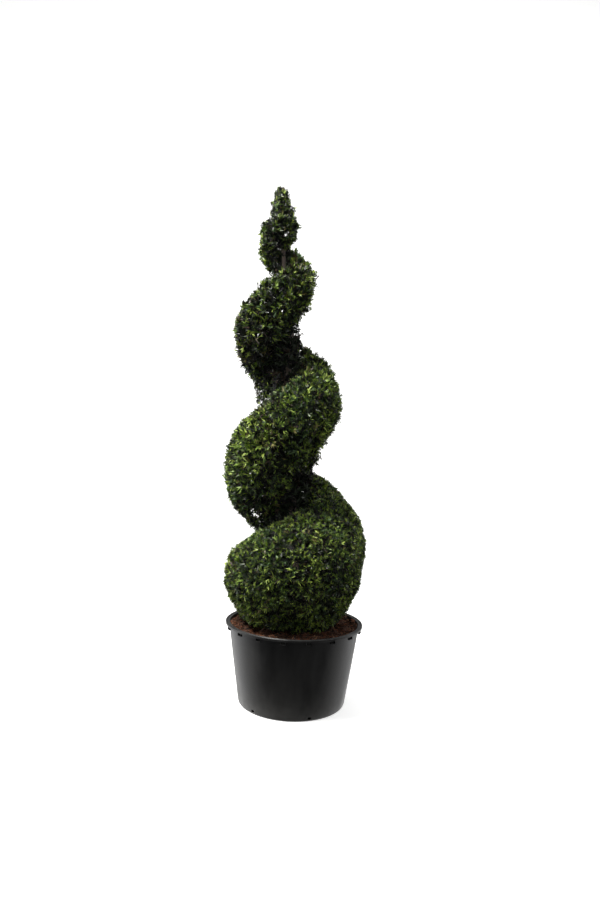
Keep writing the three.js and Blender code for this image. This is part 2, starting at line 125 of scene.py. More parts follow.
def polar(radius, angle, z, x=0.0):
    """Points at a radius and an angle round an upright line at x, and at a height z."""
    return np.stack(np.broadcast_arrays(x + radius * np.cos(angle), radius * np.sin(angle), z), -1)


def repeated(faces, points, count):
    """The faces of count copies of a shape that has so many points."""
    return (faces + points * np.arange(count)[:, None, None]).reshape(-1, faces.shape[1])


def grid_faces(rows, columns, closed=True):
    """Quads of a grid of points that is rows by columns, joined round each row where it is closed."""
    i, j = np.meshgrid(np.arange(rows - 1), np.arange(columns if closed else columns - 1), indexing="ij")
    here, beside = i * columns + j, i * columns + (j + 1) % columns
    return np.stack([corner.ravel() for corner in (here, beside, beside + columns, here + columns)], 1)


def closed_skin(name, rings, ends, turned=False):
    """A skin over rings of points (rows, columns, 3), closed at each end by a fan of triangles
    round an end point. Faces point out of rings that run upward. Others need them turned."""
    rows, columns = rings.shape[:2]
    ring, last = np.arange(columns), (rows - 1) * columns
    fan = np.stack([(ring + 1) % columns, ring, np.full(columns, rows * columns)], 1)
    caps = np.concatenate([fan, fan[:, ::-1] + [1, last, last]])
    points = np.concatenate([rings.reshape(-1, 3), ends])
    order = -1 if turned else 1
    return build_mesh(name, points, grid_faces(rows, columns)[:, ::order], caps[:, ::order])


print("a closed grid of 3 by 4 points has", len(grid_faces(3, 4)), "faces")

# %% The floor and the wall
FLOOR_SIZE, COVE_RADIUS, WALL_HEIGHT = 14.0, 3.0, 18.0


def floor_sheet():
    """A sheet that runs flat, bends up through a quarter circle and stands as a wall behind."""
    bend = np.linspace(0, np.pi / 2, 24)
    back = FLOOR_SIZE / 2 - COVE_RADIUS
    y = np.concatenate([[-FLOOR_SIZE], back + COVE_RADIUS * np.sin(bend), [FLOOR_SIZE / 2]])
    z = np.concatenate([[0.0], COVE_RADIUS * (1 - np.cos(bend)), [WALL_HEIGHT]])
    x = np.linspace(-FLOOR_SIZE, FLOOR_SIZE, 3)
    points = np.stack(np.broadcast_arrays(x[:, None], y[None], z[None]), -1).reshape(-1, 3)
    return build_mesh("floor", points, grid_faces(len(x), len(y), False))


def wire(tree, node, values):
    """Sets each input of a node to a value or a colour, or links it where a socket is given."""
    for key, value in values.items():
        if isinstance(value, bpy.types.NodeSocket):
            tree.links.new(value, node.inputs[key])
        else:
            node.inputs[key].default_value = (*value, 1.0) if isinstance(value, tuple) else value


def shade(tree, kind, values, operation=None):
    """The outputs of a new shader node of a kind, with its inputs set or linked."""
    node = tree.nodes.new("ShaderNode" + kind)
    if operation:
        node.operation = operation
    wire(tree, node, values)
    return node.outputs


def plain_material(name, colour, roughness, more=None):
    """A material with one plain base colour, one roughness and any more values."""
    material = bpy.data.materials.new(name)
    material.use_nodes = True
    values = {"Base Color": colour, "Roughness": roughness, **(more or {})}
    wire(material.node_tree, material.node_tree.nodes["Principled BSDF"], values)
    return material


floor = floor_sheet()
floor.data.materials.append(plain_material(
    "floor_pale", (0.82, 0.82, 0.81), 0.9, {"Emission Color": (1, 1, 1), "Emission Strength": 0.6},
))
floor.visible_diffuse = False
floor.visible_glossy = False
print("floor and wall", len(floor.data.polygons), "faces")

# %% The lights
# Each light's place, what it faces, its width and height in metres, its power and its colour.
LIGHTS = {
    "sky": ((-3.0, -1.7, 7.1), (-0.1, 0, 1.9), (2.0, 2.0), 790, (1.0, 0.985, 0.95)),
    "panel_left": ((-4.0, 0.6, 1.5), (0, 0, 0.6), (2.0, 3.0), 60, (1, 1, 1)),
    "panel_right": ((4.2, 1.0, 1.5), (0, 0, 0.6), (2.0, 3.0), 34, (1, 1, 1)),
    "wall_wash": ((0, 2.6, 9.0), (0, 7, 4.0), (14.0, 2.0), 700, (1, 1, 1)),
}


def soft_light(name, place, target, size, power, colour):
    """A rectangular area light at a place, turned to face a target."""
    data = bpy.data.lights.new(name, "AREA")
    data.shape = "RECTANGLE"
    data.size, data.size_y = size
    data.energy = power
    data.color = colour
    light = bpy.data.objects.new(name, data)
    aim = Vector(target) - Vector(place)
    light.matrix_world = Matrix.Translation(place) @ aim.to_track_quat("-Z", "Y").to_matrix().to_4x4()
    SCENE.collection.objects.link(light)


for name, settings in LIGHTS.items():
    soft_light(name, *settings)
print("lights", list(LIGHTS))

# %% The soft light from all round
DOME_ABOVE, DOME_BELOW = 0.53, 0.07
GLOW, GLOW_LEFT = 1.1, 0.3         # pale ground to the sides and behind, brighter to the left
# Directions are one long. The sky brightens between two heights of a direction, the ground between
# two others, and the ground grows pale between two depths.
SKY_RISE, GROUND_RISE, GROUND_BACK = (-0.15, 0.9), (0.12, -0.1), (-0.3, 0.4)


def ramp(tree, source, low, high, end):
    """A value mapped from low to high onto 0 to end, and clamped."""
    values = {"Value": source, "From Min": low, "From Max": high, "To Min": 0.0, "To Max": end}
    return shade(tree, "MapRange", values)["Result"]


def combine(tree, operation, *values):
    """A Math node of two or three values, each a socket or a number."""
    return shade(tree, "Math", dict(enumerate(values)), operation)[0]


def soft_dome():
    """A world that is bright overhead and dark below in front, with pale ground to the sides."""
    world = bpy.data.worlds.new("room")
    world.use_nodes = True
    tree = world.node_tree
    x, y, z = shade(tree, "SeparateXYZ", {0: shade(tree, "TexCoord", {})["Generated"]})
    overhead = combine(tree, "ADD", ramp(tree, z, *SKY_RISE, DOME_ABOVE - DOME_BELOW), DOME_BELOW)
    ground = combine(tree, "MULTIPLY", ramp(tree, z, *GROUND_RISE, GLOW), ramp(tree, y, *GROUND_BACK, 1.0))
    leaning = combine(tree, "MULTIPLY_ADD", x, -GLOW_LEFT, 1.0)
    total = combine(tree, "MULTIPLY_ADD", ground, leaning, overhead)
    wire(tree, tree.nodes["Background"], {"Strength": total, "Color": (1, 1, 1)})
    return world


SCENE.world = soft_dome()
SCENE.view_settings.view_transform = "Standard"
print("world", SCENE.world.name)

# %% [markdown]
# ## Shared effects in the finishes
#
# Two effects are used by more than one material. Broad mottle varies a colour from place to place,
# as damp and age do. Fine grain is a small relief that breaks up the shine. A third one lays dust on
# the foot of a thing. Each is a node group with named inputs, built once, and each material gives it
# its own sizes and strengths.


# %% Node groups
def new_group(name, inputs, outputs):
    """An empty node group: its inputs with their defaults, and the kinds of its outputs by name."""
    group = bpy.data.node_groups.new(name, "ShaderNodeTree")
    for socket, value in inputs.items():
        coloured = isinstance(value, tuple)
        kind = "NodeSocketColor" if coloured else "NodeSocketFloat"
        made = group.interface.new_socket(socket, in_out="INPUT", socket_type=kind)
        made.default_value = (*value, 1.0) if coloured else value
    for socket, kind in outputs.items():
        group.interface.new_socket(socket, in_out="OUTPUT", socket_type=kind)
    return group, group.nodes.new("NodeGroupInput").outputs, group.nodes.new("NodeGroupOutput")


def stretched_noise(group, given, detail, roughness):
    """Noise on object coordinates at the group's scale, stretched along Z by its share."""
    place = shade(group, "TexCoord", {})["Object"]
    stretch = shade(group, "CombineXYZ", {0: 1.0, 1: 1.0, 2: given["Stretch"]})[0]
    scaled = shade(group, "VectorMath", {0: place, 1: stretch}, "MULTIPLY")[0]
    values = {"Vector": scaled, "Scale": given["Scale"], "Detail": detail, "Roughness": roughness}
    return shade(group, "TexNoise", values)["Fac"]


def finish_colour(group, result, mask, first, second):
    """Gives a group's result: the mix of two colours by a mask, and the mask."""
    mix = group.nodes.new("ShaderNodeMix")
    mix.data_type = "RGBA"
    wire(group, mix, {"Factor": mask, "A": first, "B": second})
    wire(group, result, {"Colour": mix.outputs["Result"], "Mask": mask})
    return group


COLOUR_AND_MASK = {"Colour": "NodeSocketColor", "Mask": "NodeSocketFloat"}


def mottle_group():
    """Mixes two colours by a soft noise of a given size, stretched along Z by a given share."""
    inputs = {
        "Colour A": (0.1, 0.1, 0.1), "Colour B": (0.2, 0.2, 0.2),
        "Scale": 8.0, "Stretch": 1.0, "Contrast": 1.0,
    }
    group, given, result = new_group("mottle", inputs, COLOUR_AND_MASK)
    centred = combine(group, "SUBTRACT", stretched_noise(group, given, 5.0, 0.6), 0.5)
    mask = combine(group, "MULTIPLY_ADD", centred, given["Contrast"], 0.5)
    mask.node.use_clamp = True
    return finish_colour(group, result, mask, given["Colour A"], given["Colour B"])


def grain_group():
    """A bump from fine noise of a given size, stretched along Z, as a normal."""
    inputs = {"Scale": 200.0, "Stretch": 1.0, "Height": 0.001}
    group, given, result = new_group("grain", inputs, {"Normal": "NodeSocketVector"})
    noise = stretched_noise(group, given, 4.0, 0.5)
    bump = shade(group, "Bump", {"Strength": 1.0, "Height": noise, "Distance": given["Height"]})
    wire(group, result, {"Normal": bump["Normal"]})
    return group


def dust_group():
    """Mixes a colour with dust that thins out upward: exp(-z / foot), broken up by a noise."""
    inputs = {"Colour": (0.1, 0.1, 0.1), "Dust": (0.2, 0.2, 0.2), "Foot": 0.1, "Scatter": 20.0}
    group, given, result = new_group("dust", inputs, COLOUR_AND_MASK)
    place = shade(group, "TexCoord", {})["Object"]
    noise = shade(group, "TexNoise", {"Vector": place, "Scale": given["Scatter"], "Detail": 6.0})["Fac"]
    height = combine(group, "DIVIDE", shade(group, "SeparateXYZ", {0: place})[2], given["Foot"])
    thinned = combine(group, "EXPONENT", combine(group, "MULTIPLY", height, -1.0))
    mask = combine(group, "MULTIPLY", thinned, combine(group, "MULTIPLY_ADD", noise, 0.9, 0.5))
    return finish_colour(group, result, mask, given["Colour"], given["Dust"])


MOTTLE, GRAIN, DUST = mottle_group(), grain_group(), dust_group()
print("node groups", [group.name for group in (MOTTLE, GRAIN, DUST)])


# %% A finish made from the groups
def placed(tree, group, values):
    """The outputs of a node that holds a group, with its inputs set or linked."""
    node = tree.nodes.new("ShaderNodeGroup")
    node.node_tree = group
    wire(tree, node, values)
    return node.outputs


def patterned_material(name, mottle, grain, roughness, dust=None):
    """A finish from the groups: mottle sets its colour, grain its relief, and dust may lie on it.

    The roughness is a pair of numbers, and the mottle's mask chooses between them.
    """
    material = plain_material(name, (1, 1, 1), 1.0)
    tree = material.node_tree
    colour, relief = placed(tree, MOTTLE, mottle), placed(tree, GRAIN, grain)
    spread = {"Value": colour["Mask"], "To Min": roughness[0], "To Max": roughness[1]}
    values = {"Normal": relief["Normal"], "Roughness": shade(tree, "MapRange", spread)["Result"]}
    if dust:
        colour = placed(tree, DUST, {"Colour": colour["Colour"], **dust})
    wire(tree, tree.nodes["Principled BSDF"], {"Base Color": colour["Colour"], **values})
    return material


# %% [markdown]
# ## The container
#
# A big nursery container is one thin shell of black plastic, blown or moulded in one go. Its wall
# flares upward, its foot has a rounded corner, and its rim turns outward into a flange with a
# raised edge, a groove and an inner ridge. It could be turned from a profile with a Screw modifier,
# but a profile carried round a circle as one array keeps control of every radius, and lets the wall
# bow in and out a little, as a filled container does.

# %% The container's profile, in metres
POT_LOW, POT_HIGH = node_box("pot")
POT_HEIGHT = POT_HIGH[2]
RIM_RADIUS = (POT_HIGH[0] - POT_LOW[0]) / 2
WALL_TOP_RADIUS = 0.446
WALL_TOP_HEIGHT = POT_HEIGHT - 0.012
BASE_RADIUS = 0.364
CORNER_RADIUS = 0.012
WALL = 0.005
FLOOR_LIFT = 0.006                 # of the inside floor
LIP_WIDTH, LIP_DROP = 0.006, 0.014
RIDGE_RADIUS, RIDGE_WIDTH, RIDGE_SUNK = 0.441, 0.006, 0.002
GROOVE_DEPTH, GROOVE_RADIUS = 0.005, 0.003
FILLET = 0.004                     # radius where the wall turns out into the flange
EDGE = 0.0022                      # radius of the rim's edges
NICK = 0.002                       # the smallest step in the profile
MIDDLE = 0.05                      # radius of the first and the last ring
POT_SIDES = 288


def arc(centre, radius, start, end, steps):
    """Points on an arc in the (radius, height) plane, with angles in degrees."""
    a = np.radians(np.linspace(start, end, steps))
    return np.stack([centre[0] + radius * np.cos(a), centre[1] + radius * np.sin(a)], 1)


def pot_profile():
    """The closed outline of the container's wall, from the middle of its underside round to the
    middle of its inside floor. Straight stretches are split so that the wall can bow."""
    outer_line = np.linspace([BASE_RADIUS, CORNER_RADIUS], [WALL_TOP_RADIUS, WALL_TOP_HEIGHT - FILLET], 26)
    inner_top = [WALL_TOP_RADIUS - WALL, WALL_TOP_HEIGHT - 2 * FILLET]
    inner_line = np.linspace(inner_top, [BASE_RADIUS - WALL, CORNER_RADIUS + NICK], 14)
    top, lip, ridge = POT_HEIGHT, RIM_RADIUS - LIP_WIDTH, RIDGE_RADIUS + RIDGE_WIDTH
    groove = top - GROOVE_DEPTH
    return np.concatenate([
        [[MIDDLE, 0.0], [4 * MIDDLE, 0.0], [BASE_RADIUS - CORNER_RADIUS - FILLET, 0.0]],
        arc((BASE_RADIUS - CORNER_RADIUS, CORNER_RADIUS), CORNER_RADIUS, -90, 0, 7),
        outer_line[1:],
        arc((WALL_TOP_RADIUS + FILLET, WALL_TOP_HEIGHT - FILLET), FILLET, 180, 90, 4)[1:],
        [[lip - NICK, WALL_TOP_HEIGHT], [lip, WALL_TOP_HEIGHT - NICK], [lip, top - LIP_DROP]],
        arc((RIM_RADIUS - EDGE, top - LIP_DROP + EDGE), EDGE, -90, 0, 4),
        arc((RIM_RADIUS - EDGE, top - EDGE), EDGE, 0, 90, 5),
        arc((lip + NICK / 4, top - EDGE), EDGE, 90, 180, 5),
        arc((lip - 2 * GROOVE_RADIUS, groove + GROOVE_RADIUS), GROOVE_RADIUS, 0, -90, 4),
        arc((ridge + GROOVE_RADIUS, groove + NICK), NICK, -90, -180, 4),
        arc((ridge - EDGE, top - RIDGE_SUNK - EDGE), EDGE, 0, 90, 4),
        arc((RIDGE_RADIUS + EDGE, top - RIDGE_SUNK - EDGE), EDGE, 90, 180, 4),
        inner_line,
        [[BASE_RADIUS - CORNER_RADIUS + FILLET, FLOOR_LIFT], [MIDDLE, FLOOR_LIFT]],
    ])


PROFILE = pot_profile()
print("container's profile has", len(PROFILE), "points")

# %% The container's shell
WALL_WAVES = [(0.0016, 2, 0.7), (0.0009, 5, 2.0)]      # height, number round the wall and phase
FOOT_BAND, FOOT_STEP = 0.085, 0.001                    # height and depth of the slight step at the foot
STEP_BLEND = 0.002
FOOT_FROM, WALL_FROM = 0.01, 0.25                      # least height of the step, least radius of both


def pot_shell():
    """The profile carried round a circle. The wall's radius is moved in and out by sines of the
    angle, times a sine of the height that is largest halfway up. Below the band at the foot it
    stands a little prouder, with a logistic curve in between."""
    angle = around(POT_SIDES)
    radius, height = PROFILE[:, :1], PROFILE[:, 1:]
    wave = sum(rise * np.sin(count * angle + phase) for rise, count, phase in WALL_WAVES)
    bow = np.sin(np.pi * np.clip(height / WALL_TOP_HEIGHT, 0, 1)) * wave
    step = FOOT_STEP / (1 + np.exp((height - FOOT_BAND) / STEP_BLEND)) * (height > FOOT_FROM)
    r = radius + np.where(radius > WALL_FROM, bow + step, 0)
    return closed_skin("container", polar(r, angle, height), [[0, 0, PROFILE[0, 1]], [0, 0, PROFILE[-1, 1]]])


container = pot_shell()
print("container's shell has", len(container.data.polygons), "faces")

# %% The lugs under the flange and the drain slots
LUG_COUNT, LUG_FIRST = 18, -98.0               # the first one's place in degrees
LUG_SIZE, LUG_WALL = (0.014, 0.034, 0.022), 0.0016
LUG_INSET, LUG_SUNK = 0.003, 0.001             # in from the rim's edge, and up into the flange
DRAIN_COUNT, DRAIN_FIRST = 6, -131.0
DRAIN_SIZE, DRAIN_LEVEL = (0.060, 0.024, 0.017), 0.0205
BEVEL = 0.0006

BLOCK_CORNERS = np.array([
    [x, y, z] for z in (-0.5, 0.5) for x, y in ((-0.5, -0.5), (0.5, -0.5), (0.5, 0.5), (-0.5, 0.5))
])
BLOCK_FACES = np.array([
    [0, 3, 2, 1], [4, 5, 6, 7], [0, 1, 5, 4], [2, 3, 7, 6], [3, 0, 4, 7], [1, 2, 6, 5],
])
CUP_RIM = [[1, 2, 10, 9], [2, 6, 14, 10], [6, 5, 13, 14], [5, 1, 9, 13]]
CUP_FACES = np.concatenate([BLOCK_FACES[:5], BLOCK_FACES[:5, ::-1] + 8, CUP_RIM])


def cup_corners(size):
    """A block that is hollow and open outward: its eight corners, then those of the hollow."""
    hollow = np.array(size) - [LUG_WALL, 2 * LUG_WALL, 2 * LUG_WALL]
    return np.concatenate([BLOCK_CORNERS * size, BLOCK_CORNERS * hollow + [LUG_WALL / 2, 0, 0]])


def ring_of_blocks(name, corners, faces, count, first, radius, level):
    """The same block at even steps round the axis, joined in one mesh. Its x points outward."""
    angle = (np.radians(first) + np.arange(count) * TURN / count)[:, None]
    x, y, z = (corners + [radius, 0, level]).T[:, None]
    c, s = np.cos(angle), np.sin(angle)
    points = np.stack(np.broadcast_arrays(x * c - y * s, x * s + y * c, z), -1).reshape(-1, 3)
    return build_mesh(name, points, repeated(faces, len(corners), count), smooth=False)


def apply_modifiers(piece):
    """Turns a piece's modifiers into its own mesh."""
    bpy.context.view_layer.update()
    graph = bpy.context.evaluated_depsgraph_get()
    solved = bpy.data.meshes.new_from_object(piece.evaluated_get(graph))
    piece.modifiers.clear()
    piece.data = solved


lugs = ring_of_blocks(
    "rim_lugs", cup_corners(LUG_SIZE), CUP_FACES, LUG_COUNT, LUG_FIRST,
    RIM_RADIUS - LUG_INSET - LUG_SIZE[0] / 2, WALL_TOP_HEIGHT + LUG_SUNK - LUG_SIZE[2] / 2,
)
rounding = lugs.modifiers.new("edges", "BEVEL")
rounding.width = BEVEL
rounding.segments = 2
apply_modifiers(lugs)

slots = ring_of_blocks(
    "drain_cutters", BLOCK_CORNERS * DRAIN_SIZE, BLOCK_FACES, DRAIN_COUNT, DRAIN_FIRST,
    BASE_RADIUS, DRAIN_LEVEL,
)
cut = container.modifiers.new("drains", "BOOLEAN")
cut.operation = "DIFFERENCE"
cut.solver = "EXACT"
cut.object = slots
apply_modifiers(container)
bpy.data.objects.remove(slots)
print("container faces", len(container.data.polygons), "lugs", LUG_COUNT)

# %% [markdown]
# The plastic is nearly black with a half-matt shine. Water marks and dust leave faint paler runs
# down the wall, so its mottle is stretched upright. The grain is the texture of the mould. Soil
# splashed up by rain has dried on the foot, where it makes the black greyer, more so lower down.

# %% The container's finish
plastic = patterned_material(
    "container_black",
    {"Colour A": (0.009, 0.009, 0.0092), "Colour B": (0.029, 0.029, 0.0285),
     "Scale": 9.0, "Stretch": 0.22, "Contrast": 2.8},
    {"Scale": 420.0, "Stretch": 1.0, "Height": 0.00025},
    (0.28, 0.48),
    {"Dust": (0.150, 0.148, 0.142), "Foot": 0.075, "Scatter": 26.0},
)
for piece in (container, lugs):
    piece.data.materials.clear()
    piece.data.materials.append(plastic)
    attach(piece, "root")
    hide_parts("pot")
print("finish", plastic.name)

# %% [markdown]
# ## The soil and the bark mulch
#
# The container is full of soil, hidden but for its top, which is covered with reddish bark chips
# and crumbs. The body of the soil is one closed form with a lumpy top. The chips are a few
# thousand small bent flakes, laid by a seeded rule and joined in one mesh.

# %% The soil's body
SOIL_LOW, SOIL_HIGH = node_box("soil")
SOIL_TOP = SOIL_HIGH[2]
SOIL_RADIUS = (SOIL_HIGH[0] - SOIL_LOW[0]) / 2
SOIL_RINGS, SOIL_SIDES = 60, 180
SOIL_FOOT_GAP = 0.05               # between the wall and the soil at the foot, where it has sunk away
SOIL_HEAP, SOIL_RISE = 0.004, 0.006            # over the CAD soil, and more at the wall
SOIL_LUMPS = (0.11, 0.04, 0.018)               # lengths in metres


def lumps(x, y, seed, sizes):
    """A smooth uneven height: for each of several lengths, four sines in random directions, each
    0.06 of its length high."""
    rng = np.random.default_rng(seed)
    height = np.zeros_like(x)
    for size in sizes:
        for _ in range(4):
            heading, phase = rng.uniform(0, TURN, 2)
            height += size * 0.06 * np.sin((x * np.cos(heading) + y * np.sin(heading)) / size * TURN + phase)
    return height


def soil_height(x, y):
    """The soil's top: lumps of three sizes on a surface that rises towards the wall with r^2."""
    r = np.hypot(x, y)
    return SOIL_TOP + SOIL_HEAP + SOIL_RISE * (r / SOIL_RADIUS) ** 2 + lumps(x, y, 5, SOIL_LUMPS)


def on_soil(radius, angle):
    """Points of the soil's top at a radius and an angle."""
    place = polar(radius, angle, 0.0)
    place[..., 2] = soil_height(place[..., 0], place[..., 1])
    return place


def soil_body():
    """A disc of rings with the uneven height, its sides drawing in from the container's wall."""
    angle = around(SOIL_SIDES)
    radius = SOIL_RADIUS * np.linspace(0.01, 1.0, SOIL_RINGS) ** 0.8
    low = polar(BASE_RADIUS - SOIL_FOOT_GAP, angle, SOIL_LOW[2])
    rings = np.concatenate([on_soil(radius[:, None], angle), low[None]])
    return closed_skin("soil_body", rings, [on_soil(0.0, 0.0), [0, 0, SOIL_LOW[2]]], turned=True)


soil = soil_body()
soil.data.materials.append(patterned_material(
    "soil_crumb",
    {"Colour A": (0.025, 0.012, 0.008), "Colour B": (0.11, 0.045, 0.022), "Scale": 60.0, "Contrast": 2.2},
    {"Scale": 260.0, "Height": 0.004},
    (0.85, 1.0),
))
print("soil faces", len(soil.data.polygons))

# %% The bark chips
CHIP_COUNT = 5200
CHIP_LENGTH = (0.007, 0.024)
CHIP_WIDTH, CHIP_THICKNESS = (0.3, 0.7), (0.1, 0.22)    # as shares of its length
CHIP_TILT, CHIP_LIFT = 0.45, (-0.001, 0.004)            # in radians, and in metres over the soil
CHIP_AREA, CHIP_RAGGED = (0.2, 0.99), (0.7, 1.25)       # where they lie, as shares of the soil's area
CHIP_OUTLINE = np.array([[-0.5, -0.2], [-0.3, -0.5], [0.35, -0.4], [0.5, 0.15], [0.2, 0.5], [-0.4, 0.4]])
CHIP_FACES = np.array([
    [0, 1, 2, 3], [0, 3, 4, 5], [9, 8, 7, 6], [11, 10, 9, 6],
    *([6 + k, 6 + (k + 1) % 6, (k + 1) % 6, k] for k in range(6)),
])
CHIP_COLOURS = {
    "chip_red": (0.135, 0.046, 0.018),
    "chip_brown": (0.066, 0.027, 0.014),
    "chip_tan": (0.185, 0.092, 0.046),
    "chip_dark": (0.020, 0.011, 0.008),
}
CHIP_SHARES = [0.36, 0.32, 0.14, 0.18]


def unit(v):
    """Vectors made one long."""
    return v / np.maximum(np.linalg.norm(v, axis=-1, keepdims=True), 1e-9)


def turned_frames(rng, count, tilt):
    """Random bases of three axes: the third stays within about tilt (radians) of straight up."""
    third = unit(np.stack([rng.normal(0, tilt, count), rng.normal(0, tilt, count), np.ones(count)], 1))
    heading = rng.uniform(0, TURN, count)
    first = polar(1.0, heading, 0.0)
    first = unit(first - third * np.sum(first * third, 1, keepdims=True))
    return first, np.cross(third, first), third


def bark_chips():
    """Flat six-sided flakes with a thickness, laid on the soil's top. Each is bent: a point at u
    along it is lifted by a share of u^2."""
    rng = np.random.default_rng(21)
    radius = SOIL_RADIUS * np.sqrt(rng.uniform(*CHIP_AREA, CHIP_COUNT))
    angle = rng.uniform(0, TURN, CHIP_COUNT)
    place = on_soil(radius, angle)
    place[:, 2] += rng.uniform(*CHIP_LIFT, CHIP_COUNT)
    spans = (CHIP_LENGTH, CHIP_WIDTH, CHIP_THICKNESS)
    length, width, thick = (rng.uniform(*span, CHIP_COUNT) for span in spans)
    ragged = CHIP_OUTLINE * rng.uniform(*CHIP_RAGGED, (CHIP_COUNT, 6, 1))
    u, v = ragged[..., 0] * length[:, None], ragged[..., 1] * (length * width)[:, None]
    w = rng.uniform(-1, 1, (CHIP_COUNT, 1)) * u * u / length[:, None]
    first, second, third = (axis[:, None] for axis in turned_frames(rng, CHIP_COUNT, CHIP_TILT))
    flat = u[..., None] * first + v[..., None] * second + w[..., None] * third
    offset = (length * thick / 2)[:, None, None] * third
    points = place[:, None] + np.concatenate([flat + offset, flat - offset], 1)
    faces = repeated(CHIP_FACES, 12, CHIP_COUNT)
    tints = np.repeat(rng.choice(len(CHIP_COLOURS), CHIP_COUNT, p=CHIP_SHARES), len(CHIP_FACES))
    return build_mesh("bark_chips", points.reshape(-1, 3), faces, tints=tints, smooth=False)


chips = bark_chips()
for name, colour in CHIP_COLOURS.items():
    chips.data.materials.append(plain_material(name, colour, 0.9))
for piece in (soil, chips):
    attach(piece, "root")
    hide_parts("soil")
print("bark chips", CHIP_COUNT)

# %% [markdown]
# ## The line of the tree and the ribbon of foliage
#
# All of the plant follows two rules that the CAD model uses too. The trunk's line leans to the left
# as it rises. Round it climbs a ribbon whose middle height, reach and half thickness are known at
# each half turn, with a smooth curve between them. A place on the ribbon's clipped surface is given
# by a turn, and by a side from -1 at its inner lower edge to 1 at its inner upper edge.

# %% The tree's line
TRUNK_LOW, TRUNK_HIGH = node_box("trunk")
TREE_TOP = TRUNK_HIGH[2]
SOIL_LEVEL = 0.5
LINE_X = (0.020, -0.220)           # at the soil and at the top
TRUNK_RADIUS, TRUNK_TAPER, TRUNK_TIP = 0.045, 0.7, 0.0016
FLARE, FLARE_HEIGHT, BUTTRESSES, BUTTRESS_DEPTH = 0.026, 0.075, 5, 0.32
SWAY, SWAY_PITCH = 0.004, 0.9


def line_x(z):
    """The trunk's line leans evenly from its foot to its top."""
    share = (z - SOIL_LEVEL) / (TREE_TOP - SOIL_LEVEL)
    return LINE_X[0] + (LINE_X[1] - LINE_X[0]) * share


def trunk_radius(z, angle=0.0):
    """Thick at the foot with buttresses, then drawn in by a power of the height left to a thin tip."""
    left = np.clip((TREE_TOP - z) / (TREE_TOP - SOIL_LEVEL), 0, 1)
    flare = FLARE * np.exp(-(z - SOIL_LEVEL) / FLARE_HEIGHT)
    lobes = 1 + BUTTRESS_DEPTH * np.cos(BUTTRESSES * angle + 1)
    return TRUNK_TIP + (TRUNK_RADIUS - TRUNK_TIP) * left**TRUNK_TAPER + flare * lobes


print("trunk from", round(float(TRUNK_LOW[2]), 3), "to", round(float(TREE_TOP), 3), "m")

# %% The ribbon
# Height of the middle, reach from the trunk's line and half thickness, in metres, at each half turn.
STATIONS = np.array([
    [0.690, 0.380, 0.145], [0.820, 0.495, 0.355], [1.100, 0.499, 0.440], [1.550, 0.470, 0.440],
    [2.120, 0.371, 0.344], [2.522, 0.372, 0.322], [2.930, 0.207, 0.230], [3.185, 0.176, 0.200],
    [3.310, 0.114, 0.130], [3.400, 0.060, 0.060],
])
FIRST_STATION = -0.75
# Of the section: how round it is, how much it narrows near the trunk, how far it sinks for each metre
# outward, and where it ends near the trunk, as a share of its reach.
ROUNDNESS, NECK, DROOP, HOLLOW = 0.84, 0.22, 0.048, 0.2
FOOT_REACH, FOOT_RIGHT, FOOT_BACK = 0.315, -0.040, 0.055    # at the soil: its radius and its middle
BALL_TOP = 0.5                     # turn up to which the ribbon is filled down to the soil
FOOT_LIFT = 0.014


def station(turn, column):
    """A smooth curve through one column of the stations (Catmull and Rom's)."""
    place = np.clip((turn - FIRST_STATION) * 2, 0, len(STATIONS) - 1.001)
    i = np.floor(place).astype(int)
    u = place - i
    last = len(STATIONS) - 1
    p0, p1, p2, p3 = (STATIONS[np.clip(i + k, 0, last), column] for k in (-1, 0, 1, 2))
    return p1 + 0.5 * u * (p2 - p0 + u * (2 * p0 - 5 * p1 + 4 * p2 - p3 + u * (3 * (p1 - p2) + p3 - p0)))


def azimuth(turn):
    """Whole turns face the front, which is the -Y side."""
    return (turn - 0.25) * TURN


def parting(turn):
    """The height where this pass of the ribbon meets the next one above, or none (infinity)."""
    low_middle, low_half = station(turn, 0), station(turn, 2)
    high_middle, high_half = station(turn + 1, 0), station(turn + 1, 2)
    meet = low_middle + (high_middle - low_middle) * low_half / (low_half + high_half)
    return np.where(low_middle + low_half > high_middle - high_half, meet, np.inf)


def ribbon_section(turn, side, inset, ball):
    """Distance from the trunk's line and height of the clipped surface, drawn in by an inset.

    The section is a rounded half oval. Below its middle the lowest masses (where ball is true)
    follow a parabola down to the soil instead, with a foot that lies a little to the left of the
    trunk and behind it.
    """
    middle, reach, half = (station(turn, column) for column in (0, 1, 2))
    r, h = reach - inset, half - inset
    angle = side * np.arccos(HOLLOW ** (1 / ROUNDNESS))
    rho = r * np.cos(angle) ** ROUNDNESS
    z = middle + h * np.sin(angle) * (1 - NECK * (1 - rho / r) ** 2)
    below = np.where(turn < BALL_TOP, SOIL_LEVEL, parting(turn - 1))
    z = np.clip(z, np.where(np.isfinite(below), below, -9), parting(turn)) - DROOP * rho
    a = azimuth(turn)
    foot = np.minimum(FOOT_REACH + FOOT_RIGHT * np.cos(a) + FOOT_BACK * np.sin(a) - inset, r)
    filled = ball & (side < 0)
    rho = np.where(filled, foot + (r - foot) * (1 - side * side), rho)
    z = np.where(filled, middle + side * (middle - SOIL_LEVEL - FOOT_LIFT), z)
    return rho, z


def to_space(turn, rho, z):
    """The point at a turn, a distance from the trunk's line and a height."""
    return polar(rho, azimuth(turn), z, line_x(z))


def ribbon_point(turn, side, inset, ball):
    """A point of the clipped surface in space."""
    rho, z = ribbon_section(turn, side, inset, ball)
    return to_space(turn, rho, z)


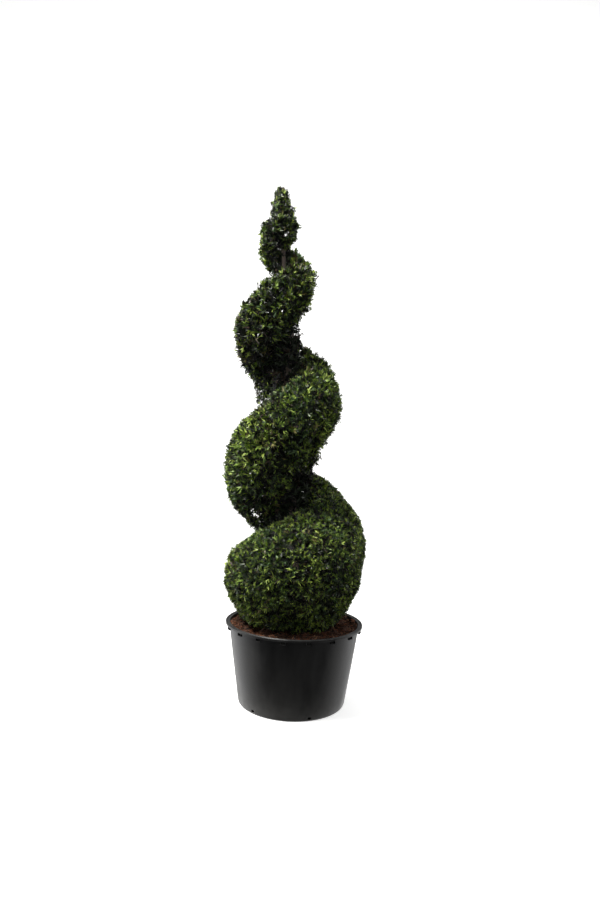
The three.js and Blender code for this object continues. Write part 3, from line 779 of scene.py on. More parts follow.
def ribbon_normal(turn, side, inset, ball):
    """The direction out of the surface: across both of its tangents."""
    along = ribbon_point(turn + 0.01, side, inset, ball) - ribbon_point(turn - 0.01, side, inset, ball)
    over = ribbon_point(turn, side + 0.05, inset, ball) - ribbon_point(turn, side - 0.05, inset, ball)
    return unit(np.cross(along, over))


print("ribbon of", (len(STATIONS) - 1) / 2, "turns, middle from", STATIONS[0, 0], "to", STATIONS[-1, 0], "m")

# %% [markdown]
# ## The trunk and the boughs
#
# The bark is thin, fibrous and pinkish brown, and it peels in long upright strips. The strips are
# real relief: ridges that run up the trunk and wander slowly round it, cut by short cracks. The
# trunk is a grid of rings with the relief added to its radius, so the strips show on the outline.

# %% Bark
BARK_SIDES, BARK_RINGS = 72, 420
BARK_DEPTH = 0.075                 # of the relief, as a share of the trunk's radius


def bark_relief(angle, z):
    """Upright strips of bark: sines round the stem whose phase wanders with height, and flakes that
    are the product of a sine up it and one round it."""
    wander = 0.9 * np.sin(z * 3.1) + 0.5 * np.sin(z * 7.7 + 1.3)
    strips = np.sin(9 * angle + 3 * wander) + 0.6 * np.sin(17 * angle - 4 * wander + 0.5 * np.sin(z * 31))
    flakes = 0.5 * np.sin(z * 67 + 4 * np.sin(3 * angle + z * 9)) * np.sin(5 * angle + z * 23)
    return (strips + flakes) / 2


def trunk_bark():
    """The trunk's rings from the flat cut at the soil to the tip, closer together near the foot.
    The relief is added to the radius, and the line sways by a sine of the height."""
    z = TRUNK_LOW[2] + (TREE_TOP - TRUNK_LOW[2]) * np.linspace(0, 1, BARK_RINGS) ** 1.15
    angle, level = around(BARK_SIDES), z[:, None]
    smooth = trunk_radius(level, angle)
    radius = smooth + bark_relief(angle, level) * smooth * BARK_DEPTH
    x = line_x(z) + SWAY * np.sin((z - SOIL_LEVEL) / SWAY_PITCH * TURN)
    return closed_skin("trunk_bark", polar(radius, angle, level, x[:, None]), polar(0, 0, z, x)[[0, -1]])


trunk = trunk_bark()
# The bark's two colours are partly its own pinkish brown and partly painted light: they are made paler to
# stand in for light on the trunk that the foliage shades. The boughs and branches share them.
bark = patterned_material(
    "bark_fibrous",
    {"Colour A": (0.30, 0.225, 0.195), "Colour B": (0.74, 0.620, 0.560),
     "Scale": 55.0, "Stretch": 0.13, "Contrast": 2.0},
    {"Scale": 240.0, "Stretch": 0.1, "Height": 0.0016},
    (0.75, 0.95),
)
trunk.data.materials.append(bark)
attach(trunk, "root")
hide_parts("trunk")
print("trunk faces", len(trunk.data.polygons))

# %% [markdown]
# Side limbs of every size are the same thing: a tube that tapers along a curve. One helper makes
# any number of them at once. Each limb is a quadratic curve given by three points, and its rings
# are set across the curve's direction.


# %% Many tapering limbs at once
def limbs(starts, bends, ends, root_radius, tip_radius, sides, steps):
    """Points and faces of tapering tubes along quadratic curves, all worked out together.

    A point at share s is (1-s)^2 start + 2s(1-s) bend + s^2 end. A ring lies in the plane across
    the curve there, spanned by two directions that stay at right angles to it.
    """
    s = np.linspace(0, 1, steps + 1)[None, :, None]
    a, b, c = starts[:, None], bends[:, None], ends[:, None]
    centre = (1 - s) ** 2 * a + 2 * s * (1 - s) * b + s**2 * c
    along = unit(2 * (1 - s) * (b - a) + 2 * s * (c - b))
    helper = np.where(np.abs(along[..., 2:]) > 0.9, [1.0, 0, 0], UP)
    across = unit(np.cross(along, helper))
    over = np.cross(across, along)
    angle = around(sides)
    root, tip = np.reshape(root_radius, (-1, 1, 1, 1)), np.reshape(tip_radius, (-1, 1, 1, 1))
    radius = root + (tip - root) * s[..., None]
    ring = np.cos(angle)[:, None] * across[:, :, None] + np.sin(angle)[:, None] * over[:, :, None]
    points = centre[:, :, None] + radius * ring
    tube = grid_faces(steps + 1, sides)[:, ::-1]
    return points.reshape(-1, 3), repeated(tube, (steps + 1) * sides, len(starts))


def joined(parts):
    """Several sets of points and faces as one set."""
    offset = np.cumsum([0] + [len(p) for p, _ in parts[:-1]])
    points = np.concatenate([p for p, _ in parts])
    return points, np.concatenate([q + o for (_, q), o in zip(parts, offset)])


# %% The boughs, and the masses they carry
MASS_COUNT = 12
FIRST_TURN, MASS_TURNS = -0.5, 1 / 3
# How much of its way a bough covers, its rise and its least height above the soil as shares of its
# run, then its root as a share of the trunk, its tip as a share of its root, and its least root.
BOUGH_SHARE, BOUGH_RISE, BOUGH_LEVEL = 0.5, 0.55, 3
BOUGH_ROOT, BOUGH_TIP, BOUGH_LEAST = 0.24, 0.6, 0.004


def mass_start(index):
    """The turn at which a mass starts."""
    return FIRST_TURN + index * MASS_TURNS


def mass_middle(index):
    """The turn at the middle of a mass."""
    return np.array(FIRST_TURN + (index + 0.5) * MASS_TURNS)


def bough_seat(index):
    """Where a bough leaves the trunk, where it ends, the point it aims for, and its thickness."""
    turn = mass_middle(index)
    middle, reach = station(turn, 0), station(turn, 1)
    inner = HOLLOW * reach
    level = max(middle, SOIL_LEVEL + BOUGH_LEVEL * inner)
    start = to_space(turn, 0.0, level - BOUGH_RISE * inner)
    end = to_space(turn, inner, level)
    open_share = trunk_radius(level) / inner
    tip = start + (end - start) * (open_share + (1 - open_share) * BOUGH_SHARE)
    return start, tip, end, max(BOUGH_ROOT * trunk_radius(level), BOUGH_LEAST)


SEATS = [bough_seat(i) for i in range(MASS_COUNT)]
print("boughs", len(SEATS), "thickest", round(max(s[3] for s in SEATS) * 2000), "mm")

# %% [markdown]
# ## Growing the masses
#
# Each mass of a clipped evergreen is a dense tuft of tufts. A stem goes on from the tip of its
# bough, forks into a few branches, each branch into twigs, and each twig into a fan of flat sprays
# that the shears have cut to one surface. Blender's particles or instances could spread the sprays,
# but joined meshes from arrays keep every leaf in the finished model. The rule is worked backwards:
# tufts are spread evenly over the clipped surface in staggered rows, and each is joined to the
# nearest branch, so no spray floats.

# %% Where the tufts sit
# For each mass from the lowest up: metres between tufts, a spray's length, how many sprays a tuft has, how
# far a stray one stands out, the share of strays, how full the inside is, how much painted light its
# surface's colours get (lower for the masses painted in shade), how warm its green is, and how full the
# hollow round the trunk is.
TUFT_STEP = np.array([0.038, 0.038, 0.038, 0.040, 0.042, 0.044, 0.043, 0.042, 0.040, 0.038, 0.036, 0.034])
SPRAY_LENGTH = np.array([0.034, 0.034, 0.035, 0.038, 0.041, 0.043, 0.043, 0.042, 0.041, 0.039, 0.037, 0.035])
SPRAYS_PER_TUFT = np.array([18, 18, 19, 19, 18, 19, 20, 21, 21, 20, 20, 20])
STRAY_LENGTH = np.array([0.024, 0.018, 0.016, 0.024, 0.036, 0.040, 0.042, 0.044, 0.046, 0.040, 0.038, 0.034])
STRAY_SHARE = np.array([0.16, 0.15, 0.15, 0.16, 0.18, 0.20, 0.22, 0.25, 0.32, 0.26, 0.25, 0.25])
INNER_FILL = np.array([1.0, 1.0, 1.0, 1.0, 0.9, 0.75, 0.65, 0.6, 0.5, 0.4, 0.35, 0.4])
PAINTED_LIGHT_SHARE = np.array([1.0, 1.03, 1.0, 0.74, 0.93, 1.02, 0.34, 0.58, 0.82, 0.64, 0.46, 0.88])
MASS_WARMTH = np.array([-0.5, -0.5, -0.5, -0.4, -0.4, -0.3, 0.0, 0.0, 0.2, 0.3, 0.3, 0.3])
COLUMN_FILL = np.array([1.0, 1.0, 1.0, 1.0, 0.9, 0.8, 0.6, 0.4, 0.15, 0.05, 0.0, 0.0])


def clip_wave(turn, side):
    """The shears never cut quite evenly: two slow sines that slant over the surface, in metres."""
    return 0.006 * np.sin(turn * 41 + 5 * side) + 0.005 * np.sin(turn * 23 - 9 * side + 1)


def surface_rows(index, step, inset, rng):
    """Turns and sides spread over a mass in staggered rows, about one step apart everywhere."""
    start = mass_start(index)
    middle = start + MASS_TURNS / 2
    ball = middle < BALL_TOP
    ruler = np.linspace(-1, 1, 41)
    rho, z = ribbon_section(middle, ruler, inset, ball)
    travelled = np.concatenate([[0], np.cumsum(np.hypot(np.diff(rho), np.diff(z)))])
    rows = max(int(round(travelled[-1] / step)), 3)
    turns, sides = [], []
    for row in range(rows):
        side = np.interp((row + 0.5) / rows * travelled[-1], travelled, ruler)
        width = np.interp(side, ruler, rho) * TURN * MASS_TURNS
        columns = max(int(round(width / step)), 1)
        place = np.arange(columns) + 0.5 * (row % 2) + rng.uniform(-0.35, 0.35, columns) + 0.25
        turns.append(start + MASS_TURNS * (place / columns % 1))
        sides.append(side + rng.uniform(-0.8, 0.8, columns) / rows)
    return np.concatenate(turns), np.clip(np.concatenate(sides), -1, 1), ball


print("sprays on a tuft", SPRAYS_PER_TUFT.tolist())


# %% One spray
TEMPLATES = 8
STRANDS = 3                        # of a spray: one in the middle and one to each side
STRAND_RIBS = np.array([0.0, 0.32, 0.70, 1.0])       # where along a strand its points lie
STRAND_WIDTHS = np.array([0.0, 1.0, 0.72, 0.0])
STRAND_HALF = 0.078                # half width of the middle strand, as a share of the spray's length


def strand(base, lean, length, arch, rise, tilt):
    """Six points of a strand as (u across, v along, w out of the plane).

    It starts at a height base on the middle line and leans to one side. Its own middle line is a
    parabola that arches sideways, and it rises out of the plane. Its edges stand arch-wise across
    that line, one higher than the other by the tilt.
    """
    s = STRAND_RIBS * length
    heading, aside = np.array([np.sin(lean), np.cos(lean)]), np.array([np.cos(lean), -np.sin(lean)])
    sideways = arch * s * (1 - STRAND_RIBS)
    line = np.array([0, base]) + s[:, None] * heading + sideways[:, None] * aside
    half = STRAND_HALF * (0.75 + 0.25 * length) * STRAND_WIDTHS
    lift = rise * s
    left = np.column_stack([line - half[:, None] * aside, lift + tilt * half])
    right = np.column_stack([line + half[:, None] * aside, lift - tilt * half])
    return np.array([left[0], left[1], right[1], left[2], right[2], left[3]])


def spray_templates():
    """Outlines of a spray one unit long: three curved strands that fan out from its foot."""
    rng = np.random.default_rng(3)
    outlines = []
    for _ in range(TEMPLATES):
        sides = [
            strand(rng.uniform(0.06, 0.3), hand * np.radians(rng.uniform(20, 42)), rng.uniform(0.55, 0.8),
                   -hand * rng.uniform(0.1, 0.5), rng.uniform(-0.3, 0.35), rng.uniform(-0.7, 0.7))
            for hand in (-1, 1)
        ]
        middle = strand(0.0, 0.0, 1.0, rng.uniform(-0.4, 0.4), 0.0, rng.uniform(-0.5, 0.5))
        outlines.append(np.concatenate([middle, *sides]))
    return np.array(outlines)


SPRAY_OUTLINES = spray_templates()
SPRAY_POINTS = SPRAY_OUTLINES.shape[1]
STRAND_POINTS = SPRAY_POINTS // STRANDS
SPRAY_QUADS = repeated(np.array([[1, 2, 4, 3]]), STRAND_POINTS, STRANDS)
SPRAY_TRIANGLES = repeated(np.array([[0, 2, 1], [3, 4, 5]]), STRAND_POINTS, STRANDS)
FACES_PER_SPRAY = 2 * len(SPRAY_QUADS) + len(SPRAY_TRIANGLES)
print("a spray has", FACES_PER_SPRAY, "triangles")


# %% Laying many sprays at once
def spread_about(direction, amount, rng):
    """Directions scattered about given ones by a random vector of a given length."""
    return unit(direction + amount * rng.normal(0, 1, direction.shape) / np.sqrt(3))


def spray_set(rng, root, direction, facing, length, light, warmth=0.0):
    """A set of sprays as arrays: where each starts, where it points and faces, its length, how it bends out
    of its plane and curls within it, how much light is painted into its colour (0 deep inside, 1 at the
    surface, below 0 painted shade darker still) and how warm its green is."""
    count = len(root)
    return {
        "root": root, "direction": direction, "facing": facing, "length": length,
        "bend": rng.normal(-0.12, 0.32, count), "curl": rng.normal(0, 0.36, count),
        "light": np.broadcast_to(light, count), "warmth": np.broadcast_to(warmth, count),
    }


def merged(sets):
    """Several sets of sprays as one."""
    return {key: np.concatenate([part[key] for part in sets]) for key in sets[0]}


def kept(sprays, chosen):
    """The chosen ones of a set of sprays."""
    return {key: value[chosen] for key, value in sprays.items()}


def dot(a, b):
    """The share of each vector along another."""
    return np.sum(a * b, 1)


def lay_sprays(sprays, kind):
    """The points and faces of all the sprays: each outline is placed by its root and directions.

    A point (u, v, w) of the outline goes to root + length (u' across + v direction + w' facing),
    where u' = u + curl v^2 bends the spray sideways, and w' = w + bend v^2 - 0.4 |u| arches it and
    folds it down its middle.
    """
    direction = sprays["direction"]
    across = unit(np.cross(direction, sprays["facing"]))
    over = np.cross(across, direction)
    outline = SPRAY_OUTLINES[kind]
    u, v = outline[..., 0], outline[..., 1]
    w = outline[..., 2] + sprays["bend"][:, None] * v**2 - 0.4 * np.abs(u)
    u = u + sprays["curl"][:, None] * v**2
    axes = (across, direction, over)
    shape = sum(part[..., None] * axis[:, None] for part, axis in zip((u, v, w), axes))
    points = sprays["root"][:, None] + sprays["length"][:, None, None] * shape
    faces = (repeated(part, SPRAY_POINTS, len(direction)) for part in (SPRAY_QUADS, SPRAY_TRIANGLES))
    return points.reshape(-1, 3), *faces


# %% [markdown]
# A green that is the same everywhere looks painted. The sprays are dealt out in plain colours: young
# yellow-green at the ends, deeper greens further in, two cool greens, an olive that has caught the sun, and
# a few brown ones. The darker greens further in are partly painted shade. Which one a spray gets depends on
# a painted light value, which falls with its depth in the foliage and is set lower for the masses painted in
# shade, and on how warm the green of its patch is, with some chance.

# %% The colours of the foliage
# Base colour, chance deep inside, chance at the surface, and how much a warm patch favours it.
LEAF_COLOURS = {
    "leaf_young": ((0.470, 0.605, 0.122), 0.00, 0.24, 0.30),
    "leaf_fresh": ((0.230, 0.348, 0.062), 0.00, 0.27, 0.10),
    "leaf_mid": ((0.100, 0.156, 0.033), 0.06, 0.18, 0.00),
    "leaf_deep": ((0.040, 0.055, 0.031), 0.36, 0.15, 0.00),
    "leaf_cool": ((0.110, 0.190, 0.075), 0.01, 0.08, -0.60),
    "leaf_blue": ((0.045, 0.068, 0.038), 0.08, 0.06, -0.50),
    "leaf_olive": ((0.185, 0.165, 0.058), 0.02, 0.05, 0.50),
    "leaf_brown": ((0.080, 0.055, 0.038), 0.08, 0.01, 0.30),
    # Near-black grey for the sprays deep inside: partly the old sprays' own colour, partly painted shade.
    "leaf_inner": ((0.026, 0.026, 0.027), 0.39, 0.00, 0.00),
}
CHANCES = np.array([chances for _, *chances in LEAF_COLOURS.values()])
CHANCE_INSIDE, CHANCE_OUTSIDE, WARM_SHARE = CHANCES.T


def leaf_materials():
    """One plain material for each colour, with the slight wax shine of scale leaves. The dark ones inside
    are dull, and their near-black grey is partly painted shade."""
    made = []
    for name, (colour, *_) in LEAF_COLOURS.items():
        dull = name == "leaf_inner"
        shine = {"Specular IOR Level": 0.2 if dull else 0.4}
        made.append(plain_material(name, colour, 0.8 if dull else 0.4, shine))
    return made


LEAVES = leaf_materials()


def deal_colours(rng, sprays):
    """The number of a colour for each spray, by chances that follow its painted light value and its warmth.
    """
    light, warmth = sprays["light"][:, None], sprays["warmth"][:, None]
    chance = np.clip(CHANCE_INSIDE + (CHANCE_OUTSIDE - CHANCE_INSIDE) * light, 0, None)
    chance = chance * np.exp(WARM_SHARE * warmth)
    edges = np.cumsum(chance / chance.sum(1, keepdims=True), 1)
    return (rng.uniform(0, 1, (len(light), 1)) > edges).sum(1).clip(0, len(LEAF_COLOURS) - 1)


print("leaf colours", len(LEAVES))


# %% The sprays of one mass
# As shares of a spray's length: depth of a tuft's root below its top, how uneven the tops are, how far a
# side strand reaches to its side, the depth at which painted shade has made a spray's colour fully dark, how
# far roots lie below the tuft's (near ones, deep ones and the share of those), the lengths of sprays, how
# much longer a stray is, and the shortest that is kept.
TUFT_ROOT, UNEVEN, SIDE_REACH, PAINTED_SHADE_DEPTH = 0.92, 0.16, 0.22, 0.40
NEAR_ROOTS, DEEP_ROOTS, DEEP_SHARE = (-0.15, 0.2), (0.3, 0.8), 0.36
LENGTHS, LONGER_STRAY, SHORTEST = (0.7, 1.35), 0.3, 0.4
# How far directions turn away: a tuft upward and at random, a spray from its tuft's heading and in
# its facing, and the least share of a spray's direction that points outward.
TUFT_UP, TUFT_LEAN, FAN, FACING_UP, FACING_TURN, LEAST_OUTWARD = 0.35, 0.15, 1.15, 0.3, 1.5, 0.2
ROOT_SCATTER = 0.16                # of a spray's root, as a share of the step between tufts
UNDERSIDE, UNDERSIDE_THINNED = -0.35, 0.3    # side below which this share of the sprays is missing
WARM_PATCHES, LIT_PATCHES = (0.35, 0.14), (0.24, 0.10)      # sizes in metres
LIT_LIMITS = (-1.5, 1.1)
PATCH_LIGHT, PATCH_LIFT = 0.20, 0.004
TONE_SCATTER, WARMTH_SCATTER = 0.2, 0.5
UNEVEN_LIMITS = (-0.008, 0.02)     # of the tops from the surface's waves, in metres
PROUDEST = 0.017                   # of a tuft outside the clipped surface, in metres


def patches(place, seed, sizes):
    """An even spread of patches over the surface, about -1 to 1, from waves in slanting planes."""
    x, y, z = place.T
    return lumps(x + 0.6 * z, y - 0.8 * z, seed, sizes) / (0.085 * np.hypot(*sizes))


def grow_shell(index, rng):
    """Tufts over one mass and the sprays of each.

    A tuft is a dome. Its sprays fan out from one twig that ends a spray's length below the clipped
    surface, so the middle ones reach the surface, the outer ones end a little below it, and a dark
    valley is left between one tuft and the next. Some sprays start deeper and fill the valley's
    floor. A spray whose tip would pass the surface, bent as it is, is cut back to it, but for a
    few strays. So is one whose side strands would pass it.
    """
    turn, side, ball = surface_rows(index, TUFT_STEP[index], 0.0, rng)
    full = SPRAY_LENGTH[index]
    lit = np.clip(patches(ribbon_point(turn, side, 0.0, ball), 3457, LIT_PATCHES), *LIT_LIMITS)
    uneven = rng.normal(0, UNEVEN * full, len(turn)) - PATCH_LIFT * lit
    inset = np.maximum(clip_wave(turn, side) + np.clip(uneven, *UNEVEN_LIMITS), -PROUDEST)
    top = ribbon_point(turn, side, inset, ball)
    normal = ribbon_normal(turn, side, 0.0, ball)
    heading = unit(normal + TUFT_UP * UP + rng.normal(0, TUFT_LEAN, normal.shape))
    tone = PATCH_LIGHT * lit + rng.normal(0, TONE_SCATTER, len(turn))
    warmth = MASS_WARMTH[index] + patches(top, 11, WARM_PATCHES) + rng.normal(0, WARMTH_SCATTER, len(turn))
    ends = top - heading * TUFT_ROOT * full
    top, foot, normal, heading, tone, warmth, side = (
        np.repeat(values, SPRAYS_PER_TUFT[index], 0)
        for values in (top, ends, normal, heading, tone, warmth, side)
    )
    count = len(top)
    near = rng.uniform(*NEAR_ROOTS, count)
    deep = np.where(rng.uniform(0, 1, count) < DEEP_SHARE, rng.uniform(*DEEP_ROOTS, count), near)
    direction = spread_about(heading, FAN, rng)
    direction = unit(direction + np.maximum(LEAST_OUTWARD - dot(direction, normal), 0)[:, None] * normal)
    outward = dot(direction, normal)
    scatter = rng.normal(0, ROOT_SCATTER * TUFT_STEP[index], (count, 3))
    root = foot - heading * (deep * full)[:, None] + scatter
    length = full * rng.uniform(*LENGTHS, count)
    stray = rng.uniform(0, 1, count) < STRAY_SHARE[index]
    room = dot(top - root, normal) + rng.uniform(0, 0.004, count)
    room += stray * rng.uniform(0.2, 1, count) * STRAY_LENGTH[index]
    facing = spread_about(unit(normal + FACING_UP * UP), FACING_TURN, rng)
    sprays = spray_set(rng, root, direction, facing, length, 1.0, warmth)
    across = unit(np.cross(direction, facing))
    sideways, over = dot(across, normal), dot(np.cross(across, direction), normal)
    bent = np.maximum(sprays["curl"] * sideways + sprays["bend"] * over, 0) + SIDE_REACH * np.abs(sideways)
    length = np.minimum(length * (1 + LONGER_STRAY * stray), room / np.maximum(outward + bent, 0.1))
    depth = dot(top - root, normal) - length * outward
    # Painted shade: a spray's colour is dealt darker the deeper its tip lies below the clipped surface, and
    # each mass's share scales this painted light.
    light = PAINTED_LIGHT_SHARE[index] * np.clip(1.02 - depth / (PAINTED_SHADE_DEPTH * full) + tone, 0, 1)
    sprays |= {"length": length, "light": light}
    thinned = (side < UNDERSIDE) & (not ball) & (rng.uniform(0, 1, count) < UNDERSIDE_THINNED)
    return kept(sprays, (length > SHORTEST * full) & ~thinned), ends


# %% [markdown]
# Behind the clipped shell the light is gone, and only dark old sprays are left on the branches. Their
# colours are dealt darker still as painted shade, mostly the near-black grey. They close the mass, so that
# no sky shows through a dense part, and they fill the hollows next to the trunk. They are fewer and larger,
# and they are spread through the whole inside of the mass.

# %% The dark sprays inside
INNER_LENGTH, INNER_REACH = 0.085, 0.35      # a spray's length in a ribbon with this reach or more
INNER_PER_VOLUME, FULLNESS = 9500, 0.75      # sprays in a cubic metre, and the share a mass fills
INNER_DEPTH, DEPTH_SHARE = 0.048, 0.3        # of the nearest ones, at most this share of the reach
INNER_FLAT = 0.35                  # height of the innermost ones, as a share of the surface's
INNER_SIZES = (0.7, 1.2)
# Painted shade: the light value of the dark sprays inside, below 0, so their colours are dealt darkest.
INNER_PAINTED_SHADE = -0.5
COLUMN_PER_LENGTH, COLUMN_LOW = 2600, 0.56   # sprays round a metre of trunk, and the lowest, in metres
COLUMN_REACH, COLUMN_LENGTH = 0.22, 0.14     # as shares of the ribbon's reach


def centred_sprays(rng, place, direction, facing, length):
    """Dark sprays dealt painted-shade colours, with their middles at their places, so that neither end comes
    out far.
    """
    root = place - 0.5 * length[:, None] * direction
    return spray_set(rng, root, direction, facing, length, INNER_PAINTED_SHADE)


def grow_inside(index, rng):
    """Sprays spread evenly through the inside of a mass. A share of the way from the trunk's line
    to the surface is the square root of a random number, so that the same number falls in every
    part of the volume."""
    start = mass_start(index)
    ball = start + MASS_TURNS / 2 < BALL_TOP
    reach, half = (float(station(np.array(start + MASS_TURNS / 2), column)) for column in (1, 2))
    volume = TURN * MASS_TURNS * reach**2 * half * FULLNESS
    count = int(INNER_PER_VOLUME * volume * INNER_FILL[index])
    turn = start + MASS_TURNS * rng.uniform(0, 1, count)
    side = rng.uniform(-1, 1, count)
    rho, z = ribbon_section(turn, side, min(INNER_DEPTH, DEPTH_SHARE * reach), ball)
    share = np.sqrt(rng.uniform(0.01, 1, count))
    middle = station(turn, 0) - DROOP * rho
    place = to_space(turn, rho * share, middle + (z - middle) * (INNER_FLAT + (1 - INNER_FLAT) * share))
    direction = spread_about(np.tile(0.3 * UP, (count, 1)), 1.5, rng)
    facing = spread_about(np.tile(UP, (count, 1)), 2.0, rng)
    length = INNER_LENGTH * min(1.0, reach / INNER_REACH) * rng.uniform(*INNER_SIZES, count)
    return centred_sprays(rng, place, direction, facing, length)


def grow_column(index, rng):
    """Sprays close round the trunk between one pass of the ribbon and the next."""
    start = mass_start(index)
    reach = float(station(np.array(start + MASS_TURNS / 2), 1))
    pitch = float(station(np.array(start + 1), 0) - station(np.array(start), 0))
    count = int(COLUMN_PER_LENGTH * pitch * MASS_TURNS * COLUMN_FILL[index])
    turn = start + MASS_TURNS * rng.uniform(-0.2, 1.2, count)
    z = np.maximum(station(turn, 0) + pitch * rng.uniform(0, 1, count), COLUMN_LOW)
    rho = trunk_radius(z) + COLUMN_REACH * reach * rng.uniform(0, 1, count) ** 0.7
    place = to_space(turn, rho, z)
    outward = to_space(turn, rho + 1, z) - place
    direction = spread_about(unit(outward * 0.5 + 0.5 * UP), 1.5, rng)
    facing = spread_about(outward, 0.9, rng)
    length = COLUMN_LENGTH * reach * rng.uniform(*INNER_SIZES, count)
    return centred_sprays(rng, place, direction, facing, length)


print("dark sprays in a cubic metre", INNER_PER_VOLUME)

# %% Wisps that the shears missed
# The wisps' light range is painted light: it sets how light their sprays' colours are dealt.
WISP_SIZES, WISP_PAINTED_LIGHT = (0.024, 0.040), (0.0, 0.5)
# Mass (13 is the leader), turn, height and distance from the trunk's line of a wisp's root, the way
# it points, its length, how far it spreads, and the number of its sprays. The first covers the seam
# at the back, where the ribbon's foot meets the end of its first turn.
WISPS = [
    (1, -0.50, 0.620, 0.400, (0.0, 0.0, 1.0), 0.380, 0.026, 420),
    (5, 1.12, 1.700, 0.258, (-0.42, 0.0, -1.0), 0.125, 0.017, 330),
    (7, 1.74, 2.220, 0.185, (-0.10, 0.0, -1.0), 0.170, 0.014, 190),
    (7, 1.70, 2.260, 0.215, (-0.12, 0.0, -1.0), 0.120, 0.014, 80),
    (7, 1.76, 2.250, 0.140, (-0.06, 0.0, -1.0), 0.150, 0.014, 120),
    (7, 1.80, 2.230, 0.100, (0.05, 0.0, -1.0), 0.110, 0.014, 90),
    (7, 1.76, 2.130, 0.150, (-0.25, 0.0, -1.0), 0.100, 0.014, 130),
    (7, 1.72, 2.270, 0.242, (0.10, 0.0, -1.0), 0.100, 0.012, 90),
    (9, 2.25, 2.960, 0.190, (1.0, 0.0, 0.20), 0.024, 0.014, 40),
    (9, 2.25, 2.900, 0.190, (1.0, 0.0, -0.20), 0.024, 0.014, 34),
    (11, 2.98, 3.235, 0.055, (0.0, 0.0, -1.0), 0.085, 0.014, 60),
    (13, 2.75, 3.560, 0.016, (-0.10, 0.0, 1.0), 0.030, 0.004, 16),
    (13, 3.25, 3.552, 0.020, (0.15, 0.0, 1.0), 0.030, 0.004, 14),
    (13, 2.75, 3.405, 0.062, (-0.10, 0.0, 1.0), 0.035, 0.007, 26),
    (13, 3.25, 3.400, 0.068, (0.15, 0.0, 1.0), 0.050, 0.008, 40),
]


def grow_wisps(mass, rng):
    """Small sprays along a line from each wisp's root, fanning a little to all sides."""
    sets = []
    for _, turn, z, rho, way, length, spread, count in (wisp for wisp in WISPS if wisp[0] == mass):
        way = unit(np.array(way))
        share = rng.uniform(0, 1, (count, 1)) ** 1.3
        aside = rng.normal(0, spread, (count, 3)) * (1.2 - 0.7 * share)
        root = to_space(np.array(turn), rho, z) + way * share * length + aside
        direction = spread_about(np.tile(way, (count, 1)), 1.0, rng)
        facing = spread_about(np.tile(-way[[1, 0, 2]] + UP, (count, 1)), 1.5, rng)
        size, light = rng.uniform(*WISP_SIZES, count), rng.uniform(*WISP_PAINTED_LIGHT, count)
        sets.append(spray_set(rng, root, direction, facing, size, light))
    return sets


print("wisps", len(WISPS), "with", sum(wisp[-1] for wisp in WISPS), "sprays")


# %% Thin places
# Where the light shows through: left or right of the middle, height, radius of the opening, and how
# far back it goes, in metres. It runs from the eye. One that ends at 0 only bares the trunk.
THROUGH = 9.0
THIN_PLACES = np.array([
    [-0.182, 3.250, 0.009, THROUGH], [-0.159, 3.267, 0.007, THROUGH], [-0.234, 3.186, 0.008, THROUGH],
    [-0.208, 3.152, 0.008, THROUGH], [-0.229, 2.966, 0.009, THROUGH], [-0.199, 2.852, 0.002, THROUGH],
    [-0.085, 2.842, 0.003, THROUGH], [-0.092, 2.752, 0.007, THROUGH], [-0.169, 2.712, 0.009, THROUGH],
    [-0.314, 2.537, 0.007, THROUGH], [-0.034, 2.424, 0.008, THROUGH],
    [0.021, 1.424, 0.008, THROUGH], [-0.290, 1.238, 0.007, THROUGH], [-0.318, 1.247, 0.005, THROUGH],
    [-0.181, 3.092, 0.010, 0.0], [-0.180, 3.068, 0.014, 0.0], [-0.178, 3.040, 0.014, 0.0],
    [-0.110, 2.276, 0.012, 0.0],
])
# Small openings scattered about a place: left or right, height, how far they scatter, how many.
LACE = [(-0.330, 1.255, 0.060, 11), (-0.030, 1.266, 0.045, 6)]


def all_openings():
    """The thin places with the small openings added to them."""
    rng = np.random.default_rng(12)
    rows = [THIN_PLACES]
    for x, z, scatter, count in LACE:
        place = rng.normal((x, z), (scatter, 0.45 * scatter), (count, 2))
        rows.append(np.column_stack([place, rng.uniform(0.001, 0.004, count), np.full(count, THROUGH)]))
    return np.concatenate(rows)


OPENINGS = all_openings()
PROBES = (0.0, 0.4, 0.75, 1.0)     # places along a spray that are tested
GIRTH = 0.1                        # of a spray, as a share of its length
print("thin places", len(OPENINGS))


def crosses_thin_place(sprays):
    """True for each spray with a probed place inside an opening: nearer to the opening's line than
    its radius and the spray's girth, by the length of the cross product with the line's direction."""
    eye = np.array(CAMERA_PLACE)
    x, z, radius, back = OPENINGS.T
    line = unit(np.stack([x, np.zeros(len(x)), z], 1) - eye)
    crossed = np.zeros(len(sprays["length"]), bool)
    for share in PROBES:
        place = sprays["root"] + share * (sprays["direction"] * sprays["length"][:, None])
        gap = np.linalg.norm(np.cross((place - eye)[:, None], line[None]), axis=2)
        near = gap < radius + GIRTH * sprays["length"][:, None]
        crossed |= (near & (place[:, 1:2] < back)).any(1)
    return crossed


# %% Dressing the masses
def dress(name, sprays, rng, node):
    """Makes the sprays one mesh with its colours dealt out, and stands it for a CAD node."""
    sprays = kept(sprays, ~crosses_thin_place(sprays))
    kind = rng.integers(0, TEMPLATES, len(sprays["root"]))
    points, quads, triangles = lay_sprays(sprays, kind)
    dealt = deal_colours(rng, sprays)
    tints = np.concatenate([np.repeat(dealt, len(SPRAY_QUADS)), np.repeat(dealt, len(SPRAY_TRIANGLES))])
    piece = build_mesh(name, points, quads, triangles, tints, smooth=False)
    for material in LEAVES:
        piece.data.materials.append(material)
    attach(piece, "root")
    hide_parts(node)
    return len(kind)


